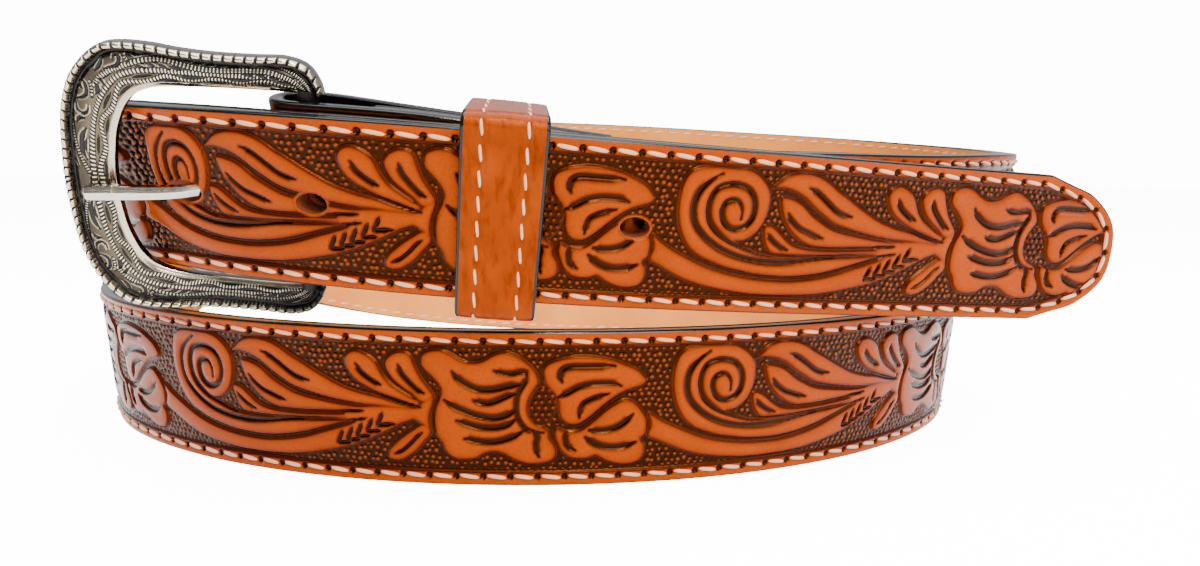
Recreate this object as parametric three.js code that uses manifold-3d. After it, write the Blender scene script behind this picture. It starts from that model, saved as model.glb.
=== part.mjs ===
// Western tooled belt: a lined leather strap with a cast buckle, a prong and a keeper,
// buckled and wound in two turns that stand on edge on the floor.
// Millimetres, +Z up. +X runs to the right as the buckle is looked at, +Y runs away.
// The origin is on the floor, under the middle of the wound belt.

import * as THREE from 'three';
import { mergeVertices } from 'three/addons/utils/BufferGeometryUtils.js';
import Module from 'manifold-3d';

const wasm = await Module();
wasm.setup();

// Strap sizes
const strapWidth = 26;
const leatherThickness = 2.2;
const liningThickness = 1.0;
const glueGap = 0.3;
const layerGap = 0.5;
const edgeRound = 0.5;
const stationStep = 6.4;

// Wound belt sizes
const coilWidth = 200;
const coilDepth = 140;
const lowerTurnWidth = 187.6;
const lowerTurnDepth = 137.6;
const lowerTurnShift = -3.2;
const lowerTurnSkew = 0.021;
const lowerTurnLean = 0.078;

// Fold round the heel bar
const barRadius = 1.6;
const barEase = 1.0;
const chapeLength = 46;
const chapeSettle = 20;
const chapeSteps = 15;
const liningStart = 12;
const foldSteps = 12;
const barSides = 16;

// Holes, counted from the tip
const holeCount = 5;
const holePitch = 23.6;
const lastHoleToTip = 92;
const holeLength = 4.7;
const holeWidth = 3.2;
const tipTaper = 0.6;
const holeSides = 16;

// Keeper
const keeperWidth = 12;
const keeperThickness = 1.8;
const keeperEase = 0.4;
const keeperSlack = 0.02;
const keeperToTip = 112;
const keeperInnerRound = 0.5;
const keeperSteps = 3;
const keeperCornerSteps = 3;

// Buckle
const buckleEase = 2.9;
const armWidth = 5.1;
const buckleReach = 37.4;
const castThickness = 3.0;
const rimHeight = 0.5;
const rimWidth = 1.1;
const rimShareMost = 0.3;
const backShare = 0.8;
const barOverlap = 2.55;
const buckleSwing = 0.26;
const buckleRoll = 0.066;
const buckleTilt = 0.045;
const buckleDrop = 2.2;

// Prong
const prongRadius = 1.05;
const prongEase = 0.45;
const prongRise = 0.105;
const prongDrop = 0.3;
const prongRest = 3.0;
const prongSides = 10;
const eyeThickness = 1.5;
const eyeSides = 20;
const slotEase = 0.3;
const slotSpare = 1.0;

const stackThickness = leatherThickness + glueGap + liningThickness;
const foldRadius = barRadius + barEase + leatherThickness;
const floorBlend = strapWidth / 4;

// Each row is a point of the strap's lower outer edge. Across is a share of the coil's
// width, back a share of its depth, lift a share of the strap's width. Lean is the angle
// in radians by which the strap's top edge leans outwards.

// The stretch that lies on the buckled layer, from behind the buckle to the tip
const tipRows = [
  { across: -0.281, back: 0.021, lift: 1.340, lean: 0.305 },
  { across: -0.238, back: -0.003, lift: 1.315, lean: 0.292 },
  { across: -0.181, back: -0.024, lift: 1.281, lean: 0.274 },
  { across: -0.123, back: -0.036, lift: 1.249, lean: 0.256 },
  { across: -0.065, back: -0.038, lift: 1.216, lean: 0.238 },
  { across: -0.006, back: -0.032, lift: 1.185, lean: 0.220 },
  { across: 0.068, back: -0.015, lift: 1.146, lean: 0.198 },
  { across: 0.168, back: 0.019, lift: 1.097, lean: 0.167 },
  { across: 0.269, back: 0.062, lift: 1.049, lean: 0.138 },
  { across: 0.370, back: 0.107, lift: 1.003, lean: 0.107 },
  { across: 0.450, back: 0.140, lift: 0.968, lean: 0.083 },
  { across: 0.516, back: 0.162, lift: 0.940, lean: 0.064 },
];

// The buckled layer under that stretch. Along is the place on the tip stretch, from its
// first row (0) to its last (1), and slide a share of the strap's width up its own edge.
const underRows = [
  { along: 0.124, slide: 0.030 },
  { along: 0.229, slide: 0.030 },
  { along: 0.322, slide: 0.000 },
  { along: 0.428, slide: -0.030 },
  { along: 0.541, slide: -0.030 },
];

// The upper turn: round the right end, across the back and down the outside of the left
const upperRows = [
  { across: 0.250, back: 0.085, lift: 1.092, lean: 0.130 },
  { across: 0.340, back: 0.143, lift: 1.092, lean: 0.100 },
  { across: 0.420, back: 0.224, lift: 1.112, lean: 0.080 },
  { across: 0.470, back: 0.314, lift: 1.131, lean: 0.065 },
  { across: 0.503, back: 0.429, lift: 1.154, lean: 0.050 },
  { across: 0.518, back: 0.557, lift: 1.192, lean: 0.040 },
  { across: 0.507, back: 0.696, lift: 1.242, lean: 0.030 },
  { across: 0.466, back: 0.825, lift: 1.300, lean: 0.020 },
  { across: 0.388, back: 0.918, lift: 1.362, lean: 0.010 },
  { across: 0.275, back: 0.979, lift: 1.419, lean: 0.000 },
  { across: 0.145, back: 1.004, lift: 1.473, lean: 0.000 },
  { across: 0.000, back: 1.011, lift: 1.512, lean: 0.000 },
  { across: -0.138, back: 0.993, lift: 1.515, lean: 0.010 },
  { across: -0.265, back: 0.943, lift: 1.408, lean: 0.020 },
  { across: -0.373, back: 0.854, lift: 1.173, lean: 0.030 },
  { across: -0.445, back: 0.732, lift: 0.846, lean: 0.045 },
  { across: -0.481, back: 0.600, lift: 0.481, lean: 0.060 },
  { across: -0.488, back: 0.475, lift: 0.173, lean: 0.070 },
];

// The lower turn's front half is half an ellipse. Its angles are in degrees from the front.
const lowerTurnAngles = { first: -75, last: 85, step: 20 };

// The lower turn's back half, and up the inside of the left to the tip stretch
const risingRows = [
  { across: 0.442, back: 0.630, lift: 0.000, lean: 0.060 },
  { across: 0.400, back: 0.765, lift: 0.000, lean: 0.050 },
  { across: 0.318, back: 0.868, lift: 0.000, lean: 0.040 },
  { across: 0.203, back: 0.936, lift: 0.000, lean: 0.030 },
  { across: 0.070, back: 0.962, lift: 0.004, lean: 0.020 },
  { across: -0.060, back: 0.954, lift: 0.035, lean: 0.020 },
  { across: -0.180, back: 0.918, lift: 0.123, lean: 0.030 },
  { across: -0.277, back: 0.850, lift: 0.269, lean: 0.040 },
  { across: -0.346, back: 0.755, lift: 0.462, lean: 0.055 },
  { across: -0.388, back: 0.641, lift: 0.677, lean: 0.070 },
  { across: -0.406, back: 0.521, lift: 0.896, lean: 0.100 },
  { across: -0.408, back: 0.400, lift: 1.081, lean: 0.140 },
  { across: -0.396, back: 0.275, lift: 1.223, lean: 0.180 },
  { across: -0.374, back: 0.167, lift: 1.304, lean: 0.220 },
  { across: -0.357, back: 0.116, lift: 1.338, lean: 0.250 },
  { across: -0.337, back: 0.074, lift: 1.354, lean: 0.280 },
  { across: -0.312, back: 0.040, lift: 1.354, lean: 0.300 },
];

// The tip's outline: how far from the end, as a share of the strap's width, and the
// half width there, as a share of the strap's width.
const tipOutline = [
  { fromEnd: 0.000, half: 0.055 },
  { fromEnd: 0.012, half: 0.130 },
  { fromEnd: 0.045, half: 0.210 },
  { fromEnd: 0.110, half: 0.288 },
  { fromEnd: 0.190, half: 0.352 },
  { fromEnd: 0.270, half: 0.398 },
  { fromEnd: 0.430, half: 0.447 },
  { fromEnd: tipTaper, half: 0.500 },
];

// The buckle's upper half, from the end of its arm round to the middle of its left bar.
// Reach is a share of the buckle's reach to the left of the heel, rise a share of the
// half height on the outside and of the half opening on the inside.
const buckleRows = [
  { outReach: -0.063, outRise: 0.760, inReach: -0.034, inRise: 0.985 },
  { outReach: -0.048, outRise: 0.852, inReach: -0.004, inRise: 0.992 },
  { outReach: -0.005, outRise: 0.955, inReach: 0.045, inRise: 1.000 },
  { outReach: 0.071, outRise: 1.000, inReach: 0.105, inRise: 1.000 },
  { outReach: 0.208, outRise: 0.989, inReach: 0.211, inRise: 0.993 },
  { outReach: 0.345, outRise: 0.980, inReach: 0.329, inRise: 0.981 },
  { outReach: 0.482, outRise: 0.986, inReach: 0.447, inRise: 0.964 },
  { outReach: 0.576, outRise: 1.002, inReach: 0.540, inRise: 0.945 },
  { outReach: 0.684, outRise: 1.000, inReach: 0.605, inRise: 0.905 },
  { outReach: 0.753, outRise: 0.972, inReach: 0.653, inRise: 0.838 },
  { outReach: 0.811, outRise: 0.887, inReach: 0.689, inRise: 0.734 },
  { outReach: 0.863, outRise: 0.765, inReach: 0.713, inRise: 0.610 },
  { outReach: 0.892, outRise: 0.648, inReach: 0.732, inRise: 0.468 },
  { outReach: 0.916, outRise: 0.484, inReach: 0.742, inRise: 0.325 },
  { outReach: 0.929, outRise: 0.282, inReach: 0.750, inRise: 0.182 },
  { outReach: 0.937, outRise: 0.000, inReach: 0.753, inRise: 0.000 },
];

// The cast section from the outer edge to the inner one. Span is a share of the arm's
// width from the rim's inner side on, and front a share of half the casting's thickness.
const castRows = [
  { span: 0.065, front: 0.55 },
  { span: 0.170, front: 0.80 },
  { span: 0.750, front: 0.75 },
  { span: 1.000, front: 0.30 },
];

// The prong's shank from the eye to its tip. Reach is a share of the buckle's reach, front
// a share of the prong's rest on the left bar, and size a share of the prong's radius.
const prongRows = [
  { reach: 0.070, front: 0.00, size: 0.95 },
  { reach: 0.200, front: 0.14, size: 1.00 },
  { reach: 0.330, front: 0.62, size: 1.00 },
  { reach: 0.430, front: 1.04, size: 1.00 },
  { reach: 0.560, front: 1.17, size: 1.00 },
  { reach: 0.700, front: 1.10, size: 1.00 },
  { reach: 0.790, front: 1.00, size: 0.97 },
  { reach: 0.844, front: 1.00, size: 0.90 },
  { reach: 0.858, front: 1.00, size: 0.70 },
  { reach: 0.865, front: 1.00, size: 0.35 },
];

// Materials
const tooledLeather = new THREE.MeshStandardMaterial({ color: 0xb4551c, roughness: 0.42, metalness: 0 });
const tanLining = new THREE.MeshStandardMaterial({ color: 0xdca873, roughness: 0.7, metalness: 0 });
const keeperLeather = new THREE.MeshStandardMaterial({ color: 0xd96a22, roughness: 0.35, metalness: 0 });
const castSilver = new THREE.MeshStandardMaterial({ color: 0xa9a49a, roughness: 0.35, metalness: 1 });
const brightSilver = new THREE.MeshStandardMaterial({ color: 0xc9c5bc, roughness: 0.25, metalness: 1 });

function smooth(value) {
  const t = Math.min(Math.max(value, 0), 1);
  return t * t * (3 - 2 * t);
}

// A path is a curve through the rows' points with the lean of each row beside it
function makePath(stops) {
  const curve = new THREE.CatmullRomCurve3(stops.map((stop) => stop.point), false, 'centripetal');
  curve.arcLengthDivisions = 1600;
  return { curve, leans: stops.map((stop) => stop.lean), length: curve.getLength() };
}

function stopFromRow(row) {
  const point = new THREE.Vector3(row.across * coilWidth, row.back * coilDepth, row.lift * strapWidth);
  return { point, lean: row.lean };
}

function lowerTurnStop(degrees) {
  const angle = THREE.MathUtils.degToRad(degrees);
  const x = lowerTurnShift + lowerTurnWidth / 2 * Math.sin(angle);
  const y = lowerTurnDepth / 2 * (1 - Math.cos(angle)) + lowerTurnSkew * (x - lowerTurnShift);
  return { point: new THREE.Vector3(x, y, 0), lean: lowerTurnLean };
}

// A station holds the lower outer edge's point, the way along, up the width and outwards
function stationAt(path, distance) {
  const t = path.curve.getUtoTmapping(Math.min(distance / path.length, 1));
  const point = path.curve.getPoint(t);
  point.z = Math.max(point.z, 0);
  const along = path.curve.getTangent(t);
  const spot = t * (path.leans.length - 1);
  const row = Math.min(Math.floor(spot), path.leans.length - 2);
  const lean = THREE.MathUtils.lerp(path.leans[row], path.leans[row + 1], spot - row);
  const sideways = new THREE.Vector3(along.y, -along.x, 0).normalize();
  const upright = new THREE.Vector3().crossVectors(sideways, along);
  const up = upright.multiplyScalar(Math.cos(lean)).addScaledVector(sideways, Math.sin(lean));
  const outward = new THREE.Vector3().crossVectors(along, up);
  outward.z *= smooth(point.z / floorBlend);
  outward.normalize();
  return { point, along, up, outward, lean, low: 0, high: strapWidth };
}

function offset(station, deep, upward = 0) {
  return station.point.clone().addScaledVector(station.outward, -deep).addScaledVector(station.up, upward);
}

const tipPath = makePath(tipRows.map(stopFromRow));

function underStop(row) {
  const station = stationAt(tipPath, row.along * tipPath.length);
  const point = offset(station, stackThickness + layerGap, row.slide * strapWidth);
  return { point, lean: station.lean };
}

function wholePath() {
  const stops = [...underRows.map(underStop), ...upperRows.map(stopFromRow)];
  const { first, last, step } = lowerTurnAngles;
  for (let degrees = first; degrees <= last; degrees += step) {
    stops.push(lowerTurnStop(degrees));
  }
  stops.push(...risingRows.map(stopFromRow));
  stops.push(...tipRows.map(stopFromRow));
  return makePath(stops);
}

const path = wholePath();
const heel = stationAt(path, 0);

// Half width at a distance from the tip's end, and the section's two edges from it
function trimTip(station, fromEnd) {
  const share = fromEnd / strapWidth;
  if (share >= tipTaper) {
    return station;
  }
  const next = tipOutline.findIndex((row) => row.fromEnd >= share);
  const before = tipOutline[Math.max(next - 1, 0)];
  const after = tipOutline[next];
  const span = after.fromEnd - before.fromEnd;
  const mix = span > 0 ? (share - before.fromEnd) / span : 0;
  const half = THREE.MathUtils.lerp(before.half, after.half, mix) * strapWidth;
  station.low = strapWidth / 2 - half;
  station.high = strapWidth / 2 + half;
  return station;
}

// Distances of the stations from a start to the tip, with the tip's outline rows at the end
function strapDistances(start) {
  const taperStart = path.length - tipTaper * strapWidth;
  const count = Math.ceil((taperStart - start) / stationStep);
  const distances = [];
  for (let i = 0; i < count; i += 1) {
    distances.push(start + (taperStart - start) * i / count);
  }
  for (const row of [...tipOutline].reverse()) {
    distances.push(path.length - row.fromEnd * strapWidth);
  }
  return distances;
}

function strapStations(start) {
  return strapDistances(start).map((distance) => trimTip(stationAt(path, distance), path.length - distance));
}

// The chape: the strap's end, folded back behind the buckled layer
function chapeStation(distance) {
  const station = stationAt(path, distance);
  const settled = stackThickness + glueGap + leatherThickness;
  const deep = THREE.MathUtils.lerp(2 * foldRadius, settled, smooth(distance / chapeSettle));
  return {
    point: offset(station, deep),
    along: station.along.clone().negate(),
    up: station.up,
    outward: station.outward.clone().negate(),
    low: 0,
    high: strapWidth,
  };
}

function foldStation(step) {
  const angle = Math.PI * (1 - step / foldSteps);
  const outward = heel.outward.clone().multiplyScalar(Math.cos(angle));
  outward.addScaledVector(heel.along, -Math.sin(angle));
  const point = offset(heel, foldRadius).addScaledVector(outward, foldRadius);
  const along = new THREE.Vector3().crossVectors(heel.up, outward);
  return { point, along, up: heel.up, outward, low: 0, high: strapWidth };
}

// Joins sections of equal point counts into one closed body with flat ends
function loft(sections) {
  const count = sections[0].length;
  const points = sections.flat();
  const faces = [];
  for (let i = 0; i + 1 < sections.length; i += 1) {
    for (let j = 0; j < count; j += 1) {
      const a = i * count + j;
      const b = i * count + (j + 1) % count;
      faces.push(a, b, a + count, b, b + count, a + count);
    }
  }
  const end = (sections.length - 1) * count;
  for (let j = 1; j + 1 < count; j += 1) {
    faces.push(0, j + 1, j);
    faces.push(end, end + j, end + j + 1);
  }
  return meshGeometry(points, faces);
}

function meshGeometry(points, faces) {
  const geometry = new THREE.BufferGeometry();
  const places = points.flatMap((point) => point.toArray());
  geometry.setAttribute('position', new THREE.Float32BufferAttribute(places, 3));
  geometry.setIndex(faces);
  return outwardFaces(geometry);
}

function signedVolume(geometry) {
  const position = geometry.getAttribute('position');
  const index = geometry.getIndex();
  const corners = [new THREE.Vector3(), new THREE.Vector3(), new THREE.Vector3()];
  let volume = 0;
  for (let i = 0; i < index.count; i += 3) {
    corners.forEach((corner, j) => corner.fromBufferAttribute(position, index.getX(i + j)));
    volume += corners[0].dot(corners[1].cross(corners[2])) / 6;
  }
  return volume;
}

function outwardFaces(geometry) {
  if (signedVolume(geometry) < 0) {
    const index = geometry.getIndex();
    for (let i = 0; i < index.count; i += 3) {
      const swap = index.getX(i + 1);
      index.setX(i + 1, index.getX(i + 2));
      index.setX(i + 2, swap);
    }
  }
  return geometry;
}

// Solids for cutting and joining
function toSolid(geometry) {
  const bare = geometry.clone();
  bare.deleteAttribute('normal');
  bare.deleteAttribute('uv');
  const merged = mergeVertices(bare, 1e-5);
  const mesh = new wasm.Mesh({
    numProp: 3,
    vertProperties: new Float32Array(merged.getAttribute('position').array),
    triVerts: new Uint32Array(merged.getIndex().array),
  });
  return new wasm.Manifold(mesh);
}

function fromSolid(solid) {
  const mesh = solid.getMesh();
  const geometry = new THREE.BufferGeometry();
  const places = new Float32Array(mesh.vertProperties);
  geometry.setAttribute('position', new THREE.BufferAttribute(places, 3));
  geometry.setIndex(new THREE.BufferAttribute(new Uint32Array(mesh.triVerts), 1));
  geometry.computeVertexNormals();
  return geometry;
}

// The section of one leather layer between two depths, rounded on its bare face
function layerSection(station, nearDepth, farDepth, roundNear) {
  const { low, high } = station;
  const inset = Math.min(edgeRound, (high - low) / 4);
  const soft = roundNear ? nearDepth + inset : farDepth - inset;
  const bare = roundNear ? nearDepth : farDepth;
  const glued = roundNear ? farDepth : nearDepth;
  return [
    offset(station, bare, low + inset),
    offset(station, bare, high - inset),
    offset(station, soft, high),
    offset(station, glued, high),
    offset(station, glued, low),
    offset(station, soft, low),
  ];
}

function tooledStrapGeometry() {
  const stations = [];
  for (let i = 0; i < chapeSteps; i += 1) {
    stations.push(chapeStation(chapeLength * (1 - i / chapeSteps)));
  }
  for (let step = 0; step <= foldSteps; step += 1) {
    stations.push(foldStation(step));
  }
  stations.push(...strapStations(0).slice(1));
  return loft(stations.map((station) => layerSection(station, 0, leatherThickness, true)));
}

function liningGeometry() {
  const near = leatherThickness + glueGap;
  const sections = strapStations(liningStart).map((station) => (
    layerSection(station, near, stackThickness, false)
  ));
  return loft(sections);
}

// Turns a geometry's X to the strap's way along at a station, and its Y to the way outwards
function layAlong(geometry, station) {
  const { along, outward } = station;
  const across = new THREE.Vector3().crossVectors(along, outward);
  return geometry.applyMatrix4(new THREE.Matrix4().makeBasis(along, outward, across));
}

// Oval holes through the tip stretch only
function holeCutter(distance) {
  const station = stationAt(path, distance);
  const depth = stackThickness + layerGap;
  const geometry = new THREE.CylinderGeometry(holeWidth / 2, holeWidth / 2, 2 * depth, holeSides);
  geometry.scale(holeLength / holeWidth, 1, 1);
  layAlong(geometry, station);
  const centre = offset(station, stackThickness + layerGap / 2 - depth, strapWidth / 2);
  geometry.translate(centre.x, centre.y, centre.z);
  return toSolid(geometry);
}

function holeDistance(number) {
  return path.length - lastHoleToTip - number * holePitch;
}

// The buckle's own frame: X along its reach to the right, Y away from the wearer's view, Z up
function buckleFrame() {
  const frame = new THREE.Group();
  const turned = heel.along.clone().applyAxisAngle(heel.up, buckleSwing);
  const away = new THREE.Vector3().crossVectors(heel.up, turned);
  frame.setRotationFromMatrix(new THREE.Matrix4().makeBasis(turned, away, heel.up));
  frame.position.copy(offset(heel, foldRadius, strapWidth / 2));
  frame.position.addScaledVector(heel.up, -buckleDrop);
  frame.rotateY(buckleRoll);
  frame.rotateX(buckleTilt);
  frame.updateMatrixWorld(true);
  return frame;
}

const halfOpening = strapWidth / 2 + buckleEase;
const halfHeight = halfOpening + armWidth;
const backFace = castThickness / 2;
const prongStart = buckleDrop - prongDrop;

function buckleOutline() {
  const rows = buckleRows.map((row) => ({
    out: new THREE.Vector3(-row.outReach * buckleReach, 0, row.outRise * halfHeight),
    inn: new THREE.Vector3(-row.inReach * buckleReach, 0, row.inRise * halfOpening),
  }));
  const mirrored = rows.slice(0, -1).reverse().map((row) => ({
    out: row.out.clone().multiply(new THREE.Vector3(1, 1, -1)),
    inn: row.inn.clone().multiply(new THREE.Vector3(1, 1, -1)),
  }));
  const all = [...rows, ...mirrored];
  const outCurve = new THREE.CatmullRomCurve3(all.map((row) => row.out), false, 'centripetal');
  const inCurve = new THREE.CatmullRomCurve3(all.map((row) => row.inn), false, 'centripetal');
  const stations = [];
  const count = (all.length - 1) * 2;
  for (let i = 0; i <= count; i += 1) {
    stations.push({ out: outCurve.getPoint(i / count), inn: inCurve.getPoint(i / count) });
  }
  return stations;
}

// The cast section, with a raised rim along the outer edge
function castSection({ out, inn }) {
  const rim = Math.min(rimWidth / out.distanceTo(inn), rimShareMost);
  const place = (share, front) => {
    const point = out.clone().lerp(inn, share);
    point.y = -front;
    return point;
  };
  const top = backFace + rimHeight;
  const face = castRows.map((row) => place(rim + (1 - rim) * row.span, backFace * row.front));
  const back = -backFace * backShare;
  return [place(0, top), place(rim, top), ...face, place(1, back), place(0, back)];
}

function buckleGeometry() {
  const ring = toSolid(loft(buckleOutline().map(castSection)));
  const barLength = 2 * halfOpening + barOverlap;
  const bar = new THREE.CylinderGeometry(barRadius, barRadius, barLength, barSides);
  bar.rotateX(Math.PI / 2);
  return fromSolid(ring.add(toSolid(bar)));
}

// The prong: an eye round the heel bar and a bowed shank that ends on the left bar
function prongShank(ease) {
  const sections = prongRows.map((row) => {
    const radius = row.size * prongRadius + ease;
    const reach = -row.reach * buckleReach;
    const centre = new THREE.Vector3(reach, -row.front * prongRest, prongRise * reach + prongStart);
    return Array.from({ length: prongSides }, (unused, i) => {
      const angle = 2 * Math.PI * i / prongSides;
      const side = new THREE.Vector3(0, Math.cos(angle), Math.sin(angle));
      return centre.clone().addScaledVector(side, radius);
    });
  });
  return toSolid(loft(sections));
}

function prongEye() {
  const inner = barRadius + glueGap;
  const outer = inner + eyeThickness;
  const profile = [
    new THREE.Vector2(inner, -prongRadius),
    new THREE.Vector2(outer, -prongRadius),
    new THREE.Vector2(outer, prongRadius),
    new THREE.Vector2(inner, prongRadius),
    new THREE.Vector2(inner, -prongRadius),
  ];
  const eye = new THREE.LatheGeometry(profile, eyeSides);
  eye.rotateX(Math.PI / 2);
  eye.translate(0, 0, prongStart);
  return toSolid(eye);
}

// The slot in the fold that the prong's eye sits in
function foldSlot() {
  const width = 2 * (prongRadius + prongEase + slotEase);
  const depth = 2 * foldRadius + layerGap / 2;
  const slot = new THREE.BoxGeometry(2 * foldRadius + slotSpare, depth, width);
  layAlong(slot, heel);
  const centre = offset(heel, foldRadius, strapWidth / 2 - prongDrop);
  centre.addScaledVector(heel.along, slotSpare / 2);
  slot.translate(centre.x, centre.y, centre.z);
  return toSolid(slot);
}

// The keeper: a loop round every layer, swept along the tip stretch
function keeperLoop(station, inset) {
  const ease = keeperEase - inset;
  const spareWidth = keeperSlack * strapWidth;
  const low = -ease - spareWidth;
  const high = strapWidth + ease + spareWidth;
  const near = -ease;
  const far = 2 * stackThickness + layerGap + glueGap + leatherThickness + ease;
  const round = inset < 0 ? keeperThickness : keeperInnerRound;
  const corners = [
    { deep: near + round, upward: low + round, from: 180 },
    { deep: near + round, upward: high - round, from: 90 },
    { deep: far - round, upward: high - round, from: 0 },
    { deep: far - round, upward: low + round, from: 270 },
  ];
  const points = [];
  for (const corner of corners) {
    for (let i = keeperCornerSteps; i >= 0; i -= 1) {
      const angle = THREE.MathUtils.degToRad(corner.from + 90 * i / keeperCornerSteps);
      const deep = corner.deep + round * Math.cos(angle);
      points.push(offset(station, deep, corner.upward + round * Math.sin(angle)));
    }
  }
  return points;
}

function keeperGeometry() {
  const outer = [];
  const inner = [];
  for (let i = 0; i <= keeperSteps; i += 1) {
    const along = keeperWidth * (i / keeperSteps - 0.5);
    const station = stationAt(path, path.length - keeperToTip + along);
    outer.push(keeperLoop(station, -keeperThickness));
    inner.push(keeperLoop(station, 0));
  }
  const body = toSolid(loft(outer));
  const bore = toSolid(loft(inner.map((loop, i) => stretchEnds(loop, i, inner))));
  return fromSolid(body.subtract(bore));
}

// Moves the first and last loops outwards along the sweep, so that a cutter passes right through
function stretchEnds(loop, index, loops) {
  if (index > 0 && index < loops.length - 1) {
    return loop;
  }
  const neighbour = loops[index === 0 ? 1 : index - 1];
  return loop.map((point, i) => point.clone().add(point.clone().sub(neighbour[i]).multiplyScalar(0.5)));
}

const frame = buckleFrame();

function cutStrap(geometry) {
  let solid = toSolid(geometry);
  for (let number = 0; number < holeCount; number += 1) {
    solid = solid.subtract(holeCutter(holeDistance(number)));
  }
  const prongCutter = prongShank(prongEase).transform(frame.matrixWorld.elements);
  return solid.subtract(prongCutter);
}

function addPiece(group, name, geometry, material) {
  const mesh = new THREE.Mesh(geometry, material);
  mesh.name = name;
  group.add(mesh);
}

const belt = new THREE.Group();
const strap = cutStrap(tooledStrapGeometry()).subtract(foldSlot());
addPiece(belt, 'tooled_strap', fromSolid(strap), tooledLeather);
addPiece(belt, 'strap_lining', fromSolid(cutStrap(liningGeometry())), tanLining);
addPiece(belt, 'keeper', keeperGeometry(), keeperLeather);
addPiece(frame, 'buckle_frame', buckleGeometry(), castSilver);
addPiece(frame, 'buckle_prong', fromSolid(prongShank(0).add(prongEye())), brightSilver);
belt.add(frame);

// Puts the origin on the floor under the middle of the belt
const bounds = new THREE.Box3().setFromObject(belt, true);
const middle = bounds.getCenter(new THREE.Vector3());
belt.position.set(-middle.x, -middle.y, -bounds.min.z);

export default belt;
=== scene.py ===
import math

import bpy
import numpy as np
from mathutils import Matrix, Vector


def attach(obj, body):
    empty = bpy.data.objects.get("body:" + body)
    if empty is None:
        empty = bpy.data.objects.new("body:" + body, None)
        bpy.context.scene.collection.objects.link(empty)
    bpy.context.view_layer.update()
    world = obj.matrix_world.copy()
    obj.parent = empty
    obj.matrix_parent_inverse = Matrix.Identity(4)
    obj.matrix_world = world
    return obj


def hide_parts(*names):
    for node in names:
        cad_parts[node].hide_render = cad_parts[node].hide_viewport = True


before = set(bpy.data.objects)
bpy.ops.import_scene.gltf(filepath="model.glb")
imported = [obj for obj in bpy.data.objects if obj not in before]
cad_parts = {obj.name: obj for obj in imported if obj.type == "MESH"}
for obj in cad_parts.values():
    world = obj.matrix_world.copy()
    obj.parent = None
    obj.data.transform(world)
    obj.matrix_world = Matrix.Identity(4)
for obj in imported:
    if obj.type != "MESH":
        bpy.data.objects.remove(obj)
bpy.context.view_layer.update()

# The studio
# A white floor under a wide overhead softbox, with two smaller ones at the front and right
# and a small lamp. The camera stands low in front of the belt, at the photograph's angle.
CAMERA_PLACE = (0.00866, -0.19627, 0.05137)
CAMERA_PITCH = 0.1344
CAMERA_ROLL = 0.0131
CAMERA_LENS = 25.5
SENSOR_WIDTH = 36


def linear(code):
    """An sRGB hex colour as linear red, green, blue and alpha."""
    shares = [int(code[i:i + 2], 16) / 255 for i in (1, 3, 5)]
    return tuple(c / 12.92 if c <= 0.04045 else ((c + 0.055) / 1.055) ** 2.4 for c in shares) + (1.0,)


def add(material, kind, links=None, **settings):
    """Adds one node to a material, sets its properties and sockets, and links its inputs."""
    piece = material.node_tree.nodes.new(kind)
    for name, value in settings.items():
        setattr(piece, name, value)
    for socket, value in (links or {}).items():
        if isinstance(value, bpy.types.NodeSocket):
            material.node_tree.links.new(value, piece.inputs[socket])
        else:
            piece.inputs[socket].default_value = value
    return piece


def new_material(name):
    material = bpy.data.materials.new(name)
    material.use_nodes = True
    material.node_tree.nodes.clear()
    return material


def finish_material(material, shader):
    add(material, "ShaderNodeOutputMaterial", {"Surface": shader.outputs["BSDF"]})


def mesh_object(name, points, faces, material, smooth=True):
    """A mesh in metres from points in metres and faces of one corner count."""
    points = np.asarray(points, np.float32).reshape(-1, 3)
    faces = np.asarray(faces, np.int32)
    corners = faces.shape[1]
    mesh = bpy.data.meshes.new(name)
    mesh.vertices.add(len(points))
    mesh.vertices.foreach_set("co", points.ravel())
    mesh.loops.add(faces.size)
    mesh.loops.foreach_set("vertex_index", faces.ravel())
    mesh.polygons.add(len(faces))
    mesh.polygons.foreach_set("loop_start", np.arange(0, faces.size, corners, dtype=np.int32))
    mesh.polygons.foreach_set("loop_total", np.full(len(faces), corners, np.int32))
    mesh.polygons.foreach_set("use_smooth", np.full(len(faces), smooth))
    mesh.update(calc_edges=True)
    mesh.validate()
    mesh.materials.append(material)
    piece = bpy.data.objects.new(name, mesh)
    bpy.context.scene.collection.objects.link(piece)
    return piece


camera_data = bpy.data.cameras.new("studio_camera")
camera_data.lens = CAMERA_LENS
camera_data.sensor_fit = "HORIZONTAL"
camera_data.sensor_width = SENSOR_WIDTH
camera_data.clip_start = 0.01
camera = bpy.data.objects.new("studio_camera", camera_data)
bpy.context.scene.collection.objects.link(camera)
camera.matrix_world = (
    Matrix.Translation(CAMERA_PLACE)
    @ Matrix.Rotation(math.pi / 2 - CAMERA_PITCH, 4, "X")
    @ Matrix.Rotation(CAMERA_ROLL, 4, "Z")
)
bpy.context.scene.camera = camera


def softbox(name, place, target, size, watts):
    """A rectangular lamp in watts at a place, turned towards its target."""
    light = bpy.data.lights.new(name, "AREA")
    light.shape = "RECTANGLE"
    light.size, light.size_y = size
    light.energy = watts
    lamp = bpy.data.objects.new(name, light)
    bpy.context.scene.collection.objects.link(lamp)
    lamp.location = place
    aim = Vector(target) - Vector(place)
    lamp.rotation_euler = aim.to_track_quat("-Z", "Y").to_euler()


softbox("overhead_softbox", (0.05, -0.1, 0.75), (0, 0, 0), (0.9, 0.6), 15)
softbox("front_softbox", (0.3, -0.8, 0.6), (0, 0, 0.03), (0.5, 0.5), 15)
softbox("right_softbox", (0.75, -0.5, 0.35), (0, 0, 0.03), (0.3, 0.5), 4)
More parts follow.
